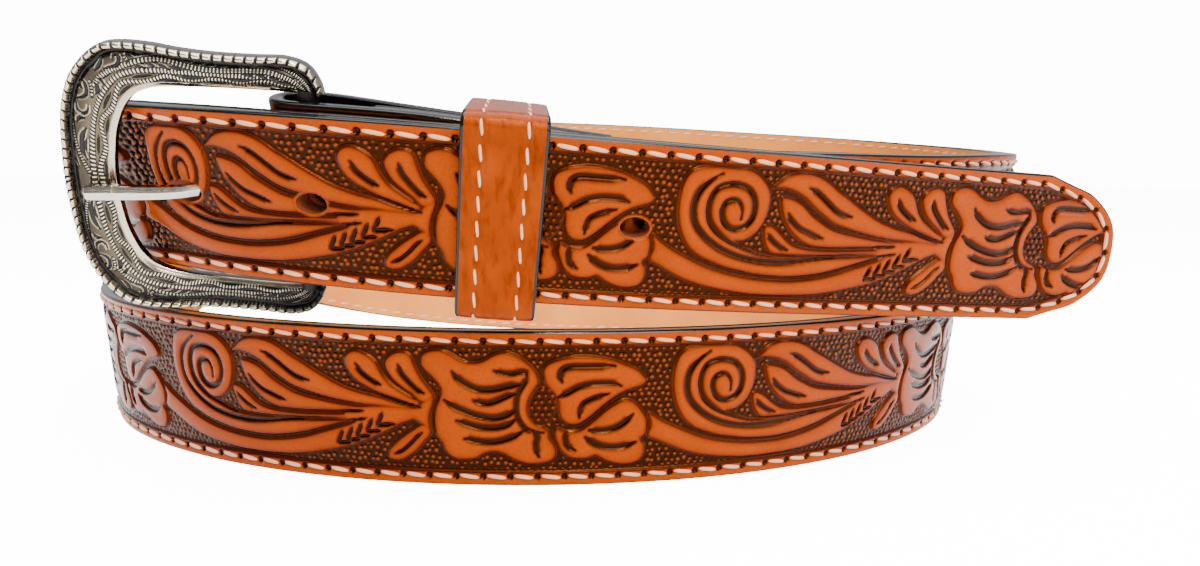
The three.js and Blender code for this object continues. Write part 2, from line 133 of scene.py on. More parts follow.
# A small bare lamp puts the glints on bevels, beads and cast edges
softbox("glint_lamp", (0.1, -0.65, 0.75), (0, 0, 0.03), (0.1, 0.1), 5)

# The room is dim in front of the belt and pale behind it, and the paper sweep that closes
# the view is lit to white, as in a product photograph
ROOM_FRONT, ROOM_BACK, SWEEP = 0.3, 0.9, 14
world = bpy.data.worlds.new("studio_world")
world.use_nodes = True
room = world.node_tree.nodes["Background"]
room.inputs["Color"].default_value = linear("#FFFFFF")
room_way = add(world, "ShaderNodeSeparateXYZ", {
    "Vector": add(world, "ShaderNodeTexCoord").outputs["Generated"]})
room_light = add(world, "ShaderNodeMapRange", {
    "Value": room_way.outputs["Y"], "From Min": -0.4, "From Max": 0.5,
    "To Min": ROOM_FRONT, "To Max": ROOM_BACK})
seen_light = add(world, "ShaderNodeMapRange", {
    "Value": add(world, "ShaderNodeLightPath").outputs["Is Camera Ray"],
    "To Min": room_light.outputs["Result"], "To Max": SWEEP})
world.node_tree.links.new(seen_light.outputs["Result"], room.inputs["Strength"])
bpy.context.scene.world = world

floor_paper = new_material("matt_white_paper")
# The photograph's paper is nearly pure white, so here it is seen brighter than it lights the belt
PAPER_GLOW, PAPER_SEEN = 0.4, 12
seen_glow = add(floor_paper, "ShaderNodeMapRange", {
    "Value": add(floor_paper, "ShaderNodeLightPath").outputs["Is Camera Ray"],
    "To Min": PAPER_GLOW, "To Max": PAPER_SEEN})
paper = add(floor_paper, "ShaderNodeBsdfPrincipled", {
    "Base Color": linear("#FBFBFA"), "Roughness": 0.95, "Emission Color": linear("#FFFFFF"),
    "Emission Strength": seen_glow.outputs["Result"]})
finish_material(floor_paper, paper)
FLOOR_REACH = 3
corners = [(-FLOOR_REACH, -FLOOR_REACH, 0), (FLOOR_REACH, -FLOOR_REACH, 0),
           (FLOOR_REACH, FLOOR_REACH, 0), (-FLOOR_REACH, FLOOR_REACH, 0)]
studio_floor = mesh_object("studio_floor", corners, [(0, 1, 2, 3)], floor_paper, smooth=False)

# The strap's course
# The belt is one lined strap, buckled and wound in two turns that stand on edge.
# These are the CAD's own sizes and rows, in millimetres and shares, so a place along
# the strap here is the same place on the solids.
MM = 0.001
STRAP_WIDTH = 26
LEATHER = 2.2
GLUE = 0.3
LINING = 1.0
STACK = LEATHER + GLUE + LINING
LAYER_GAP = 0.5
COIL_WIDTH = 200
COIL_DEPTH = 140
LOWER_TURN = {"width": 187.6, "depth": 137.6, "shift": -3.2, "skew": 0.021, "lean": 0.078}
BELT_SHIFT = np.array([-2.159, -64.019, 0.0])

# Each row: across, back and lift as shares, then the lean of the top edge in radians
TIP_ROWS = [
    (-0.281, 0.021, 1.340, 0.305), (-0.238, -0.003, 1.315, 0.292), (-0.181, -0.024, 1.281, 0.274),
    (-0.123, -0.036, 1.249, 0.256), (-0.065, -0.038, 1.216, 0.238), (-0.006, -0.032, 1.185, 0.220),
    (0.068, -0.015, 1.146, 0.198), (0.168, 0.019, 1.097, 0.167), (0.269, 0.062, 1.049, 0.138),
    (0.370, 0.107, 1.003, 0.107), (0.450, 0.140, 0.968, 0.083), (0.516, 0.162, 0.940, 0.064),
]
UNDER_ROWS = [(0.124, 0.030), (0.229, 0.030), (0.322, 0.000), (0.428, -0.030), (0.541, -0.030)]
UPPER_ROWS = [
    (0.250, 0.085, 1.092, 0.130), (0.340, 0.143, 1.092, 0.100), (0.420, 0.224, 1.112, 0.080),
    (0.470, 0.314, 1.131, 0.065), (0.503, 0.429, 1.154, 0.050), (0.518, 0.557, 1.192, 0.040),
    (0.507, 0.696, 1.242, 0.030), (0.466, 0.825, 1.300, 0.020), (0.388, 0.918, 1.362, 0.010),
    (0.275, 0.979, 1.419, 0.000), (0.145, 1.004, 1.473, 0.000), (0.000, 1.011, 1.512, 0.000),
    (-0.138, 0.993, 1.515, 0.010), (-0.265, 0.943, 1.408, 0.020), (-0.373, 0.854, 1.173, 0.030),
    (-0.445, 0.732, 0.846, 0.045), (-0.481, 0.600, 0.481, 0.060), (-0.488, 0.475, 0.173, 0.070),
]
LOWER_TURN_ANGLES = range(-75, 86, 20)
RISING_ROWS = [
    (0.442, 0.630, 0.000, 0.060), (0.400, 0.765, 0.000, 0.050), (0.318, 0.868, 0.000, 0.040),
    (0.203, 0.936, 0.000, 0.030), (0.070, 0.962, 0.004, 0.020), (-0.060, 0.954, 0.035, 0.020),
    (-0.180, 0.918, 0.123, 0.030), (-0.277, 0.850, 0.269, 0.040), (-0.346, 0.755, 0.462, 0.055),
    (-0.388, 0.641, 0.677, 0.070), (-0.406, 0.521, 0.896, 0.100), (-0.408, 0.400, 1.081, 0.140),
    (-0.396, 0.275, 1.223, 0.180), (-0.374, 0.167, 1.304, 0.220), (-0.357, 0.116, 1.338, 0.250),
    (-0.337, 0.074, 1.354, 0.280), (-0.312, 0.040, 1.354, 0.300),
]


def soft_step(value):
    """Eases from 0 to 1 as the value goes from 0 to 1."""
    t = np.clip(value, 0, 1)
    return t * t * (3 - 2 * t)


def spline(stops):
    """Centripetal spline pieces through the stops: cubic coefficients for each span."""
    ends = np.vstack([2 * stops[0] - stops[1], stops, 2 * stops[-1] - stops[-2]])
    step = np.linalg.norm(np.diff(ends, axis=0), axis=1) ** 0.5
    before, here, after = step[:-2, None], step[1:-1, None], step[2:, None]
    p0, p1, p2, p3 = ends[:-3], ends[1:-2], ends[2:-1], ends[3:]
    leave = ((p1 - p0) / before - (p2 - p0) / (before + here) + (p2 - p1) / here) * here
    arrive = ((p2 - p1) / here - (p3 - p1) / (here + after) + (p3 - p2) / after) * here
    return np.stack([p1, leave, 3 * (p2 - p1) - 2 * leave - arrive, 2 * (p1 - p2) + leave + arrive])


def along_spline(cubic, shares):
    """Points and slopes at shares (0 to 1) of a spline's spans."""
    spot = np.clip(shares, 0, 1) * cubic.shape[1]
    row = np.minimum(spot.astype(int), cubic.shape[1] - 1)
    w = (spot - row)[:, None]
    c = cubic[:, row]
    points = c[0] + w * (c[1] + w * (c[2] + w * c[3]))
    slopes = c[1] + w * (2 * c[2] + w * 3 * c[3])
    return points, slopes


def run_along(line):
    """How far along a line each of its points lies."""
    return np.concatenate([[0], np.cumsum(np.linalg.norm(np.diff(line, axis=0), axis=1))])


class Course:
    """A strap's course: its spline, the lean at each row and its length in millimetres."""

    def __init__(self, points, leans):
        self.cubic = spline(points)
        self.leans = leans
        self.shares = np.linspace(0, 1, 1601)
        self.reached = run_along(along_spline(self.cubic, self.shares)[0])
        self.length = self.reached[-1]

    def stations(self, distance):
        """The lower outer edge's points, the ways along, up and outwards, and the lean."""
        shares = np.interp(distance, self.reached, self.shares)
        points, slopes = along_spline(self.cubic, shares)
        points[:, 2] = np.maximum(points[:, 2], 0)
        ahead = unit(slopes)
        row = shares * (len(self.leans) - 1)
        lean = np.interp(row, np.arange(len(self.leans)), self.leans)[:, None]
        sideways = unit(np.stack([ahead[:, 1], -ahead[:, 0], 0 * ahead[:, 0]], 1))
        up = np.cross(sideways, ahead) * np.cos(lean) + sideways * np.sin(lean)
        outward = np.cross(ahead, up)
        outward[:, 2] *= soft_step(points[:, 2] / (STRAP_WIDTH / 4))
        return points, ahead, up, unit(outward), lean[:, 0]


def unit(vectors):
    return vectors / np.linalg.norm(vectors, axis=-1, keepdims=True)


def stops_of(rows):
    """Points in millimetres and leans from rows of shares."""
    rows = np.array(rows)
    return rows[:, :3] * [COIL_WIDTH, COIL_DEPTH, STRAP_WIDTH], rows[:, 3]


def whole_course():
    """The course from the heel bar under the tip stretch, round the coil twice and out to the tip."""
    tip_points, tip_leans = stops_of(TIP_ROWS)
    upper_points, upper_leans = stops_of(UPPER_ROWS)
    rising_points, rising_leans = stops_of(RISING_ROWS)
    tip = Course(tip_points, tip_leans)
    under = np.array(UNDER_ROWS)
    points, ahead, up, outward, under_leans = tip.stations(under[:, 0] * tip.length)
    under_points = points - outward * (STACK + LAYER_GAP) + up * under[:, 1:] * STRAP_WIDTH
    angle = np.radians(np.array(LOWER_TURN_ANGLES))
    x = LOWER_TURN["shift"] + LOWER_TURN["width"] / 2 * np.sin(angle)
    y = LOWER_TURN["depth"] / 2 * (1 - np.cos(angle)) + LOWER_TURN["skew"] * (x - LOWER_TURN["shift"])
    lower_points = np.stack([x, y, 0 * x], 1)
    lower_leans = np.full(len(x), LOWER_TURN["lean"])
    points = np.vstack([under_points, upper_points, lower_points, rising_points, tip_points])
    leans = np.concatenate([under_leans, upper_leans, lower_leans, rising_leans, tip_leans])
    return Course(points + BELT_SHIFT, leans)


course = whole_course()
BELT_END = course.length

# The carved leather face
# Vegetable-tanned cowhide, dyed orange, with a floral pattern cut by a swivel knife,
# bevelled and pressed into the damp face, then antiqued with dark brown paste that
# stays in the cuts and in the beaded ground. A clear finish leaves it glossy.

# The chart of one repeat, in millimetres along and chart heights across.
# The stitch rows lie at chart heights 2.5 and 24.4.
REPEAT = 88.6
CHART_STITCHES = (2.5, 24.4)
STITCH_INSET = (1.75, 1.45)

RAISED = {
    "scroll_and_inner_stem": [
        (6.9, 17.7), (6.7, 19.8), (5.8, 21.2), (4.1, 22.5), (2.2, 23.1), (-0.6, 23.2), (-3.1, 23.2),
        (-5.1, 22.9), (-6.7, 21.9), (-7.4, 20.3), (-7.7, 18.2), (-7.6, 16.1), (-7.1, 14.0),
        (-6.2, 12.1), (-5.0, 10.6), (-3.4, 9.5), (-1.4, 8.7), (0.8, 8.0), (3.0, 7.6), (5.2, 7.2),
        (8.0, 6.95), (12.3, 6.9), (17.3, 7.5), (20.7, 8.3), (24.0, 9.3), (27.3, 10.3), (29.5, 10.95),
        (27.0, 10.75), (23.0, 10.4), (17.0, 10.05), (12.0, 9.8), (9.0, 9.9), (6.9, 10.2), (4.9, 10.8),
        (3.3, 11.3), (1.9, 12.0), (3.3, 12.2), (4.8, 13.1), (5.9, 14.3), (6.6, 16.0),
    ],
    "main_stem": [
        (-11.6, 12.6), (-9.6, 11.4), (-7.6, 10.4), (-5.0, 9.2), (-2.6, 8.2), (0.0, 7.4), (3.0, 6.8),
        (6.0, 6.4), (9.4, 6.2), (12.4, 6.2), (17.3, 6.8), (20.7, 7.6), (24.0, 8.7), (27.3, 9.8),
        (29.2, 10.6), (30.0, 12.0), (34.0, 13.0), (38.0, 13.0), (40.5, 12.0), (38.6, 11.1), (37.3, 10.6),
        (35.7, 9.7), (33.3, 8.5), (30.7, 7.3), (27.3, 6.1), (24.0, 5.3), (20.7, 4.6), (17.3, 4.1),
        (14.0, 3.9), (10.7, 3.8), (7.3, 3.8), (4.0, 4.0), (0.0, 4.5), (-2.6, 5.0), (-5.0, 5.7),
        (-7.6, 6.8), (-9.6, 7.7), (-11.6, 8.7), (-11.2, 10.6),
    ],
    "top_leaf": [
        (6.9, 20.5), (7.7, 21.3), (9.0, 22.4), (10.7, 23.0), (12.7, 23.1), (14.7, 22.8), (16.7, 22.0),
        (18.7, 20.8), (20.7, 19.8), (22.7, 18.7), (24.7, 17.7), (27.3, 16.5), (30.7, 15.5),
        (34.0, 14.9), (37.3, 14.0), (40.3, 13.4), (38.0, 13.0), (34.0, 13.3), (30.7, 13.5),
        (27.3, 13.85), (24.0, 14.4), (20.7, 15.1), (18.7, 15.65), (16.7, 16.7), (14.7, 17.9),
        (12.7, 19.3), (10.7, 20.2), (8.6, 20.6),
    ],
    "middle_leaf": [
        (8.7, 19.2), (10.7, 19.1), (12.7, 18.3), (14.7, 16.8), (16.7, 15.7), (18.7, 14.8), (20.7, 14.3),
        (24.0, 13.8), (27.3, 13.4), (30.7, 13.2), (34.0, 13.15), (33.0, 12.2), (29.3, 12.4),
        (27.3, 12.2), (24.7, 12.1), (21.3, 11.9), (18.0, 11.8), (15.0, 12.0), (12.8, 12.9),
        (11.1, 14.2), (9.8, 15.8), (9.0, 17.4),
    ],
    "low_leaf": [
        (6.5, 14.6), (7.1, 14.9), (8.3, 14.6), (9.7, 13.6), (11.0, 12.6), (12.6, 11.8), (15.0, 11.4),
        (18.0, 11.3), (21.3, 11.4), (24.7, 11.6), (27.3, 11.8), (30.0, 12.1), (30.0, 11.0), (25.7, 10.9),
        (22.7, 10.8), (17.3, 10.5), (13.3, 10.4), (10.0, 10.4), (8.3, 10.6), (7.5, 11.3), (6.8, 12.7),
    ],
    "leaf_base": [
        (27.5, 11.0), (28.0, 12.8), (31.0, 13.3), (36.0, 13.6), (40.0, 13.6), (41.0, 14.6), (42.8, 15.4),
        (42.6, 14.0), (42.2, 12.8), (42.0, 11.5), (42.1, 10.2), (42.3, 9.3), (40.4, 10.8), (39.0, 11.4),
        (36.0, 11.0), (31.0, 10.6),
    ],
    "first_petal": [
        (28.2, 20.0), (28.2, 20.8), (28.8, 21.7), (30.0, 22.2), (31.3, 22.0), (32.7, 21.3),
        (33.6, 20.4), (34.2, 19.2), (34.8, 18.2), (35.8, 17.1), (37.2, 16.2), (39.0, 15.2), (40.5, 14.4),
        (40.3, 13.6), (37.7, 14.3), (36.0, 14.8), (34.0, 15.4), (32.3, 16.1), (30.7, 16.9),
        (29.3, 18.0), (28.5, 19.2),
    ],
    "second_petal": [
        (34.9, 20.3), (35.4, 21.3), (36.8, 22.2), (38.3, 22.3), (39.3, 21.7), (39.8, 20.5),
        (40.3, 19.3), (41.0, 18.0), (42.0, 16.7), (42.8, 15.4), (41.8, 14.2), (40.4, 14.4), (39.3, 15.4),
        (37.8, 16.4), (36.3, 17.6), (35.3, 19.0),
    ],
    "lower_petal": [
        (42.2, 9.3), (41.0, 7.8), (39.8, 6.4), (38.5, 5.4), (37.3, 4.7), (36.0, 4.5), (34.9, 4.9),
        (34.8, 5.7), (35.3, 6.7), (36.5, 7.9), (38.0, 9.1), (39.3, 10.0), (40.4, 10.7), (41.6, 10.8),
    ],
    "flower_left": [
        (40.8, 21.0), (41.0, 21.9), (41.9, 22.5), (43.3, 22.8), (44.5, 22.7), (45.8, 22.1),
        (46.8, 21.5), (48.0, 21.0), (49.5, 20.9), (50.8, 21.3), (52.0, 22.0), (53.3, 22.5),
        (54.5, 22.6), (55.8, 22.1), (57.0, 21.4), (58.0, 20.6), (58.8, 19.7), (59.3, 18.6),
        (59.4, 17.7), (58.7, 16.6), (57.9, 15.2), (57.6, 13.5), (58.1, 12.0), (59.1, 11.0),
        (60.3, 10.5), (61.0, 9.8), (61.1, 8.8), (61.8, 7.8), (62.2, 6.5), (61.9, 5.4), (61.0, 4.8),
        (59.3, 4.5), (57.5, 4.5), (55.8, 5.0), (54.8, 5.5), (53.8, 6.1), (52.8, 6.4), (51.5, 6.4),
        (50.3, 5.9), (49.3, 5.3), (48.0, 5.1), (46.5, 5.1), (45.3, 5.5), (44.3, 6.5), (43.8, 7.8),
        (43.0, 8.9), (42.7, 10.5), (42.7, 12.0), (43.0, 13.7), (43.6, 15.0), (43.9, 16.3),
        (43.3, 17.5), (42.2, 18.7), (41.3, 19.5), (40.8, 20.3),
    ],
    "flower_right_top": [
        (60.1, 18.5), (60.0, 19.5), (60.4, 20.5), (61.4, 21.1), (63.0, 21.6), (65.0, 21.9),
        (67.0, 21.9), (69.0, 21.7), (71.0, 21.3), (73.0, 20.6), (74.8, 19.8), (76.0, 18.8),
        (76.6, 17.9), (76.0, 17.1), (74.5, 16.6), (73.0, 16.1), (71.4, 15.2), (70.0, 14.2),
        (68.5, 12.9), (67.0, 11.7), (65.8, 11.0), (64.3, 10.9), (63.0, 11.7), (62.5, 13.0), (62.4, 14.4),
        (62.0, 15.5), (61.3, 16.4), (60.4, 17.5),
    ],
    "flower_right_low": [
        (62.1, 10.4), (63.6, 9.9), (65.8, 10.0), (67.4, 11.0), (68.8, 12.2), (70.1, 13.3),
        (71.3, 14.1), (72.5, 14.7), (73.8, 14.8), (75.0, 14.1), (76.1, 12.8), (76.8, 11.5),
        (76.9, 10.0), (76.6, 8.9), (75.9, 8.3), (76.5, 7.5), (76.6, 6.0), (76.0, 4.8), (74.8, 4.2),
        (73.0, 4.1), (71.3, 4.4), (69.8, 5.0), (68.5, 5.7), (67.3, 5.3), (65.8, 5.2), (64.3, 5.5),
        (63.0, 6.5), (62.3, 7.8), (61.8, 9.3),
    ],
}

# Knife cuts: width at the widest in millimetres, the side that is bevelled (1 for left of
# the stroke, -1 for right, 0 for none), and the stroke.
CUTS = [
    (0.75, -1, [(-1.6, 22.2), (-3.4, 20.9), (-4.7, 19.3), (-5.2, 17.4), (-5.0, 15.5), (-4.4, 14.2),
                (-3.2, 12.9), (-1.6, 11.7), (0.3, 10.7), (2.4, 10.0), (4.9, 9.5), (8.0, 9.2),
                (12.3, 9.3), (17.0, 9.9), (20.0, 10.2)]),
    (0.65, 1, [(2.3, 15.6), (2.3, 17.1), (1.6, 18.2), (0.6, 18.5), (-0.5, 18.0), (-0.95, 16.8),
               (-0.6, 15.3), (0.4, 14.2), (1.6, 13.9), (3.0, 14.3), (4.1, 15.4), (4.5, 17.1),
               (4.1, 18.9), (3.0, 20.2), (1.3, 20.8), (-0.3, 20.8), (-1.9, 20.2), (-2.8, 18.9),
               (-3.1, 17.1), (-2.8, 15.4), (-2.0, 14.1), (-0.6, 12.9), (1.0, 12.0), (2.7, 11.3),
               (4.7, 10.6), (6.9, 10.0)]),
    (0.50, -1, [(13.2, 21.0), (14.7, 20.5), (16.0, 19.7), (17.3, 18.8), (19.0, 17.7), (20.7, 17.1),
                (21.8, 16.9)]),
    (0.50, -1, [(10.2, 16.9), (11.0, 16.0), (12.7, 14.8), (14.3, 14.2), (16.0, 13.6), (17.2, 13.2)]),
    (0.42, -1, [(7.3, 13.6), (8.3, 12.7), (9.7, 11.8), (11.2, 11.1)]),
    (0.60, -1, [(30.2, 20.1), (31.0, 18.9), (32.3, 17.9), (33.3, 17.3), (34.2, 16.9)]),
    (0.60, -1, [(37.2, 20.2), (37.7, 19.0), (39.0, 17.5), (40.3, 16.3), (41.2, 15.8)]),
    (0.50, 0, [(36.0, 5.7), (37.3, 6.3), (38.7, 7.5), (39.8, 8.7), (40.7, 9.4)]),
    (0.45, 0, [(33.9, 15.2), (36.0, 14.5), (38.0, 14.0), (40.6, 13.5)]),
    (0.40, 0, [(27.0, 12.2), (29.4, 12.35), (31.0, 12.5)]),
    (0.40, 0, [(33.5, 10.4), (35.0, 10.6), (36.4, 10.5)]),
    (0.35, 0, [(28.0, 10.7), (30.0, 11.0), (31.5, 11.3)]),
    (0.90, 1, [(45.8, 19.4), (46.5, 18.4), (47.8, 17.4), (49.3, 16.7), (51.0, 16.5), (52.8, 16.7),
               (54.3, 17.1), (55.8, 17.4), (57.0, 17.6)]),
    (0.75, 1, [(49.0, 14.9), (50.0, 14.5), (51.5, 14.4), (53.0, 14.9), (54.5, 15.6), (56.2, 16.2)]),
    (0.90, 1, [(44.4, 14.8), (45.8, 13.8), (47.3, 13.1), (49.0, 12.5), (50.8, 12.1), (52.5, 12.0),
               (54.0, 12.4), (55.1, 13.0), (55.9, 13.9)]),
    (0.85, 1, [(46.3, 11.5), (47.5, 11.1), (49.3, 10.6), (51.0, 10.4), (53.0, 10.5), (54.5, 11.0),
               (55.8, 12.0)]),
    (0.80, 1, [(47.5, 8.6), (48.5, 8.4), (50.3, 8.1), (52.3, 8.1), (54.0, 8.5), (55.5, 9.1),
               (57.2, 10.2)]),
    (0.60, 1, [(52.3, 19.7), (53.5, 19.2), (55.0, 19.1), (56.5, 19.4), (57.3, 19.3), (57.6, 18.7)]),
    (0.55, -1, [(57.4, 19.2), (57.5, 18.4), (57.0, 17.4), (56.4, 16.4), (56.0, 15.2), (55.9, 13.8),
                (56.1, 12.4), (56.7, 11.2), (57.6, 10.3), (58.8, 9.9), (60.2, 9.7)]),
    (0.70, 1, [(58.6, 10.0), (59.0, 9.0), (58.8, 8.0), (58.9, 6.9), (59.4, 5.7)]),
    (0.90, 1, [(71.3, 20.3), (69.0, 20.4), (66.5, 20.4), (64.5, 20.4), (63.3, 20.1), (62.7, 19.4),
               (62.7, 18.5), (63.0, 17.9)]),
    (0.75, 1, [(62.3, 15.4), (63.8, 16.0), (65.5, 16.9), (67.5, 17.4), (69.5, 17.5), (71.3, 17.4),
               (72.4, 17.1)]),
    (0.60, -1, [(65.8, 12.0), (65.8, 13.3), (66.3, 14.4), (67.5, 15.1), (69.0, 15.6), (70.5, 15.9)]),
    (0.80, 1, [(67.4, 10.0), (68.8, 9.8), (70.5, 9.9), (72.3, 10.5), (73.5, 11.4), (74.4, 12.4)]),
    (0.95, 1, [(66.8, 8.9), (68.0, 7.9), (69.8, 7.2), (71.5, 7.0), (73.3, 7.2), (75.0, 7.8)]),
    (0.70, 1, [(63.6, 9.8), (63.5, 8.5), (63.9, 7.4), (65.2, 6.7)]),
]

# Wheat-ear stamps on the stem's end: the corner of each mark and its two arms
WHEAT_CORNERS = [(26.2, 6.9), (27.9, 7.5), (29.6, 8.2), (31.4, 9.1), (33.2, 10.2)]
WHEAT_ARMS = [(1.0, 2.1), (2.3, 0.2)]
WHEAT_WIDTH = 0.62

# The seed pod: an egg with round seeds in it, between the flower's halves
POD = {"centre": (60.0, 13.9), "half_along": 2.1, "half_across": 3.2, "tilt": 0.16}
SEED_PITCH = 1.12
BEAD_PITCH = 1.1

GROUND_DEPTH = 0.5
CUT_DEPTH = 0.42
BEVEL_REACH = 1.35
PILLOW = 0.12
CHART_STEP = 0.1


def curve_through(stroke, spacing, closed=False):
    """A smooth line through a chart's stroke, as points about one spacing apart."""
    stops = np.array(stroke, float)
    if closed:
        stops = np.vstack([stops[-2:], stops, stops[:3]])
    cubic = spline(stops)
    if closed:
        cubic = cubic[:, 2:-2]
    chord = np.linalg.norm(np.diff(stops, axis=0), axis=1).sum()
    count = int(chord / spacing) + 2
    return along_spline(cubic, np.linspace(0, 1, count))[0]


def nearest_on(line, spots):
    """Distance of each spot to a line, its side (left is positive) and how far along (0 to 1)."""
    best = np.full(len(spots), 1e9)
    side = np.zeros(len(spots))
    share = np.zeros(len(spots))
    spans = len(line) - 1
    for i in range(spans):
        start, step = line[i], line[i + 1] - line[i]
        away = spots - start
        t = np.clip(away @ step / max(step @ step, 1e-9), 0, 1)
        gap = away - t[:, None] * step
        distance = np.hypot(gap[:, 0], gap[:, 1])
        closer = distance < best
        best[closer] = distance[closer]
        side[closer] = np.sign(step[0] * away[closer, 1] - step[1] * away[closer, 0])
        share[closer] = (i + t[closer]) / spans
    return best, side, share


def inside(line, spots):
    """Even-odd test of spots against a closed line."""
    result = np.zeros(len(spots), bool)
    x, y = spots[:, 0], spots[:, 1]
    for (x0, y0), (x1, y1) in zip(line[:-1], line[1:]):
        crosses = (y0 > y) != (y1 > y)
        if y0 != y1:
            result ^= crosses & (x < (x1 - x0) * (y - y0) / (y1 - y0) + x0)
    return result


class Chart:
    """Rasters of one repeat: raised is the distance inside the raised parts, cut how deep
    the knife and bevel go, seeds the pod, and shade how dark the paste lies."""

    def __init__(self):
        self.along = np.arange(0, REPEAT, CHART_STEP)
        self.across = np.arange(0, STRAP_WIDTH + CHART_STEP, CHART_STEP)
        shape = (len(self.along), len(self.across))
        self.raised = np.full(shape, -3.0)
        self.cut = np.zeros(shape)
        self.shade = np.zeros(shape)
        self.seeds = np.full(shape, -3.0)
        for stops in RAISED.values():
            self.add_raised(stops)
        self.add_pod()
        for width, bevel, stroke in CUTS:
            self.add_cut(width, bevel, stroke)
        for corner in WHEAT_CORNERS:
            for arm in WHEAT_ARMS:
                end = (corner[0] + arm[0], corner[1] + arm[1])
                middle = ((corner[0] + end[0]) / 2 + 0.05, (corner[1] + end[1]) / 2)
                self.add_cut(WHEAT_WIDTH, 0, [corner, middle, end])

    def windows(self, line, margin):
        """Slices of the raster near a line, at each repeat that it reaches, with its spots."""
        low, high = line.min(0) - margin, line.max(0) + margin
        for turn in (-REPEAT, 0, REPEAT):
            first = max(int(math.ceil((low[0] + turn) / CHART_STEP)), 0)
            last = min(int((high[0] + turn) / CHART_STEP), len(self.along) - 1)
            bottom = max(int(low[1] / CHART_STEP), 0)
            top = min(int(high[1] / CHART_STEP) + 1, len(self.across) - 1)
            if first > last:
                continue
            grid = np.meshgrid(self.along[first:last + 1] - turn, self.across[bottom:top + 1], indexing="ij")
            spots = np.stack([grid[0].ravel(), grid[1].ravel()], 1)
            yield (slice(first, last + 1), slice(bottom, top + 1)), spots, grid[0].shape

    def add_raised(self, stops):
        line = curve_through(stops, 0.5, closed=True)
        for window, spots, shape in self.windows(line, 3.0):
            distance, side, share = nearest_on(line, spots)
            signed = np.where(inside(line, spots), distance, -distance).reshape(shape)
            self.raised[window] = np.maximum(self.raised[window], signed)

    def add_pod(self):
        centre = np.array(POD["centre"])
        ends = np.array([centre - POD["half_across"], centre + POD["half_across"]])
        for window, spots, shape in self.windows(ends, 1.0):
            away = spots - centre
            turned = away @ np.array([[math.cos(POD["tilt"]), math.sin(POD["tilt"])],
                                      [-math.sin(POD["tilt"]), math.cos(POD["tilt"])]])
            round_share = np.hypot(turned[:, 0] / POD["half_along"], turned[:, 1] / POD["half_across"])
            self.seeds[window] = ((1 - round_share) * POD["half_along"]).reshape(shape)

    def add_cut(self, width, bevel, stroke):
        line = curve_through(stroke, 0.4)
        for window, spots, shape in self.windows(line, 2.0):
            distance, side, share = nearest_on(line, spots)
            taper = soft_step(share / 0.14) * soft_step((1 - share) / 0.2)
            half = width / 2 * (0.35 + 0.65 * taper)
            knife = soft_step((half - distance) / (0.7 * half) + 0.35)
            slope = soft_step(1 - (distance - 0.5 * half) / BEVEL_REACH) * (side * bevel > 0) * taper
            depth = np.maximum(knife, 0.55 * slope).reshape(shape)
            self.cut[window] = np.maximum(self.cut[window], depth)
            dark = np.maximum(knife, 0.75 * slope ** 2.2)
            rim = 0.35 * soft_step(1 - (distance - half) / 0.45)
            self.shade[window] = np.maximum(self.shade[window], np.maximum(dark, rim).reshape(shape))

    def sample(self, raster, along, heights):
        """A raster's values at places along and chart heights, by linear mixing."""
        u = np.mod(along, REPEAT) / CHART_STEP
        v = np.clip(heights / CHART_STEP, 0, len(self.across) - 1.001)
        i, j = np.minimum(u.astype(int), len(self.along) - 1), v.astype(int)
        fu, fv = u - i, v - j
        after = (i + 1) % len(self.along)
        low = raster[i, j] * (1 - fu) + raster[after, j] * fu
        high = raster[i, j + 1] * (1 - fu) + raster[after, j + 1] * fu
        return low * (1 - fv) + high * fv


chart = Chart()

# Places along the strap, in millimetres from the heel, and the pattern's phase there
PHASES = [
    (BELT_END - 1288.3, -617.2), (BELT_END - 699.7, -28.6), (BELT_END - 671.1, 0.0),
    (BELT_END - 582.5, 88.6), (BELT_END - 522.5, 148.6),
    (BELT_END - 165.4, 523.9), (BELT_END - 154.9, 538.5), (BELT_END - 122.9, 572.6),
    (BELT_END - 89.6, 608.1), (BELT_END - 85.4, 612.9), (BELT_END - 77.1, 620.7),
    (BELT_END - 36.4, 661.2), (BELT_END - 17.4, 679.7), (BELT_END, 697.1),
]
BAR_RADIUS = 1.6
FOLD_GAP = 1.0
FOLD_RADIUS = BAR_RADIUS + FOLD_GAP + LEATHER
CHAPE_LENGTH = 46
CHAPE_SETTLE = 20
CHAPE_START = -math.pi * FOLD_RADIUS - CHAPE_LENGTH
LINING_START = 12
TIP_SHARES = [
    (0.000, 0.000), (0.002, 0.055), (0.012, 0.130), (0.045, 0.210), (0.110, 0.288), (0.190, 0.352),
    (0.270, 0.398), (0.430, 0.447), (0.600, 0.500),
]
BORDER = 2.35
EDGE_ROUND = 0.5
HOLE_WIDTH = 3.2
HOLE_HALF_LENGTH = 2.35
HOLE_COUNT = 5
FIRST_HOLE = 92
HOLE_PITCH = 23.6
PRONG_HOLE = 3
# Centre and half length of each hole in the face and in the lining. The prong's own hole,
# the fourth, is pulled long.
HOLES = [(BELT_END - FIRST_HOLE - HOLE_PITCH * number, HOLE_HALF_LENGTH) for number in range(HOLE_COUNT)]
LINING_HOLES = list(HOLES)
HOLES[PRONG_HOLE] = (BELT_END - 160.0, 3.1)
LINING_HOLES[PRONG_HOLE] = (BELT_END - 155.4, 3.3)
STITCH_PITCH = 4.4
STITCH_ROW = 1.6
FINE_STEP = 0.22
COARSE_STEP = 0.55


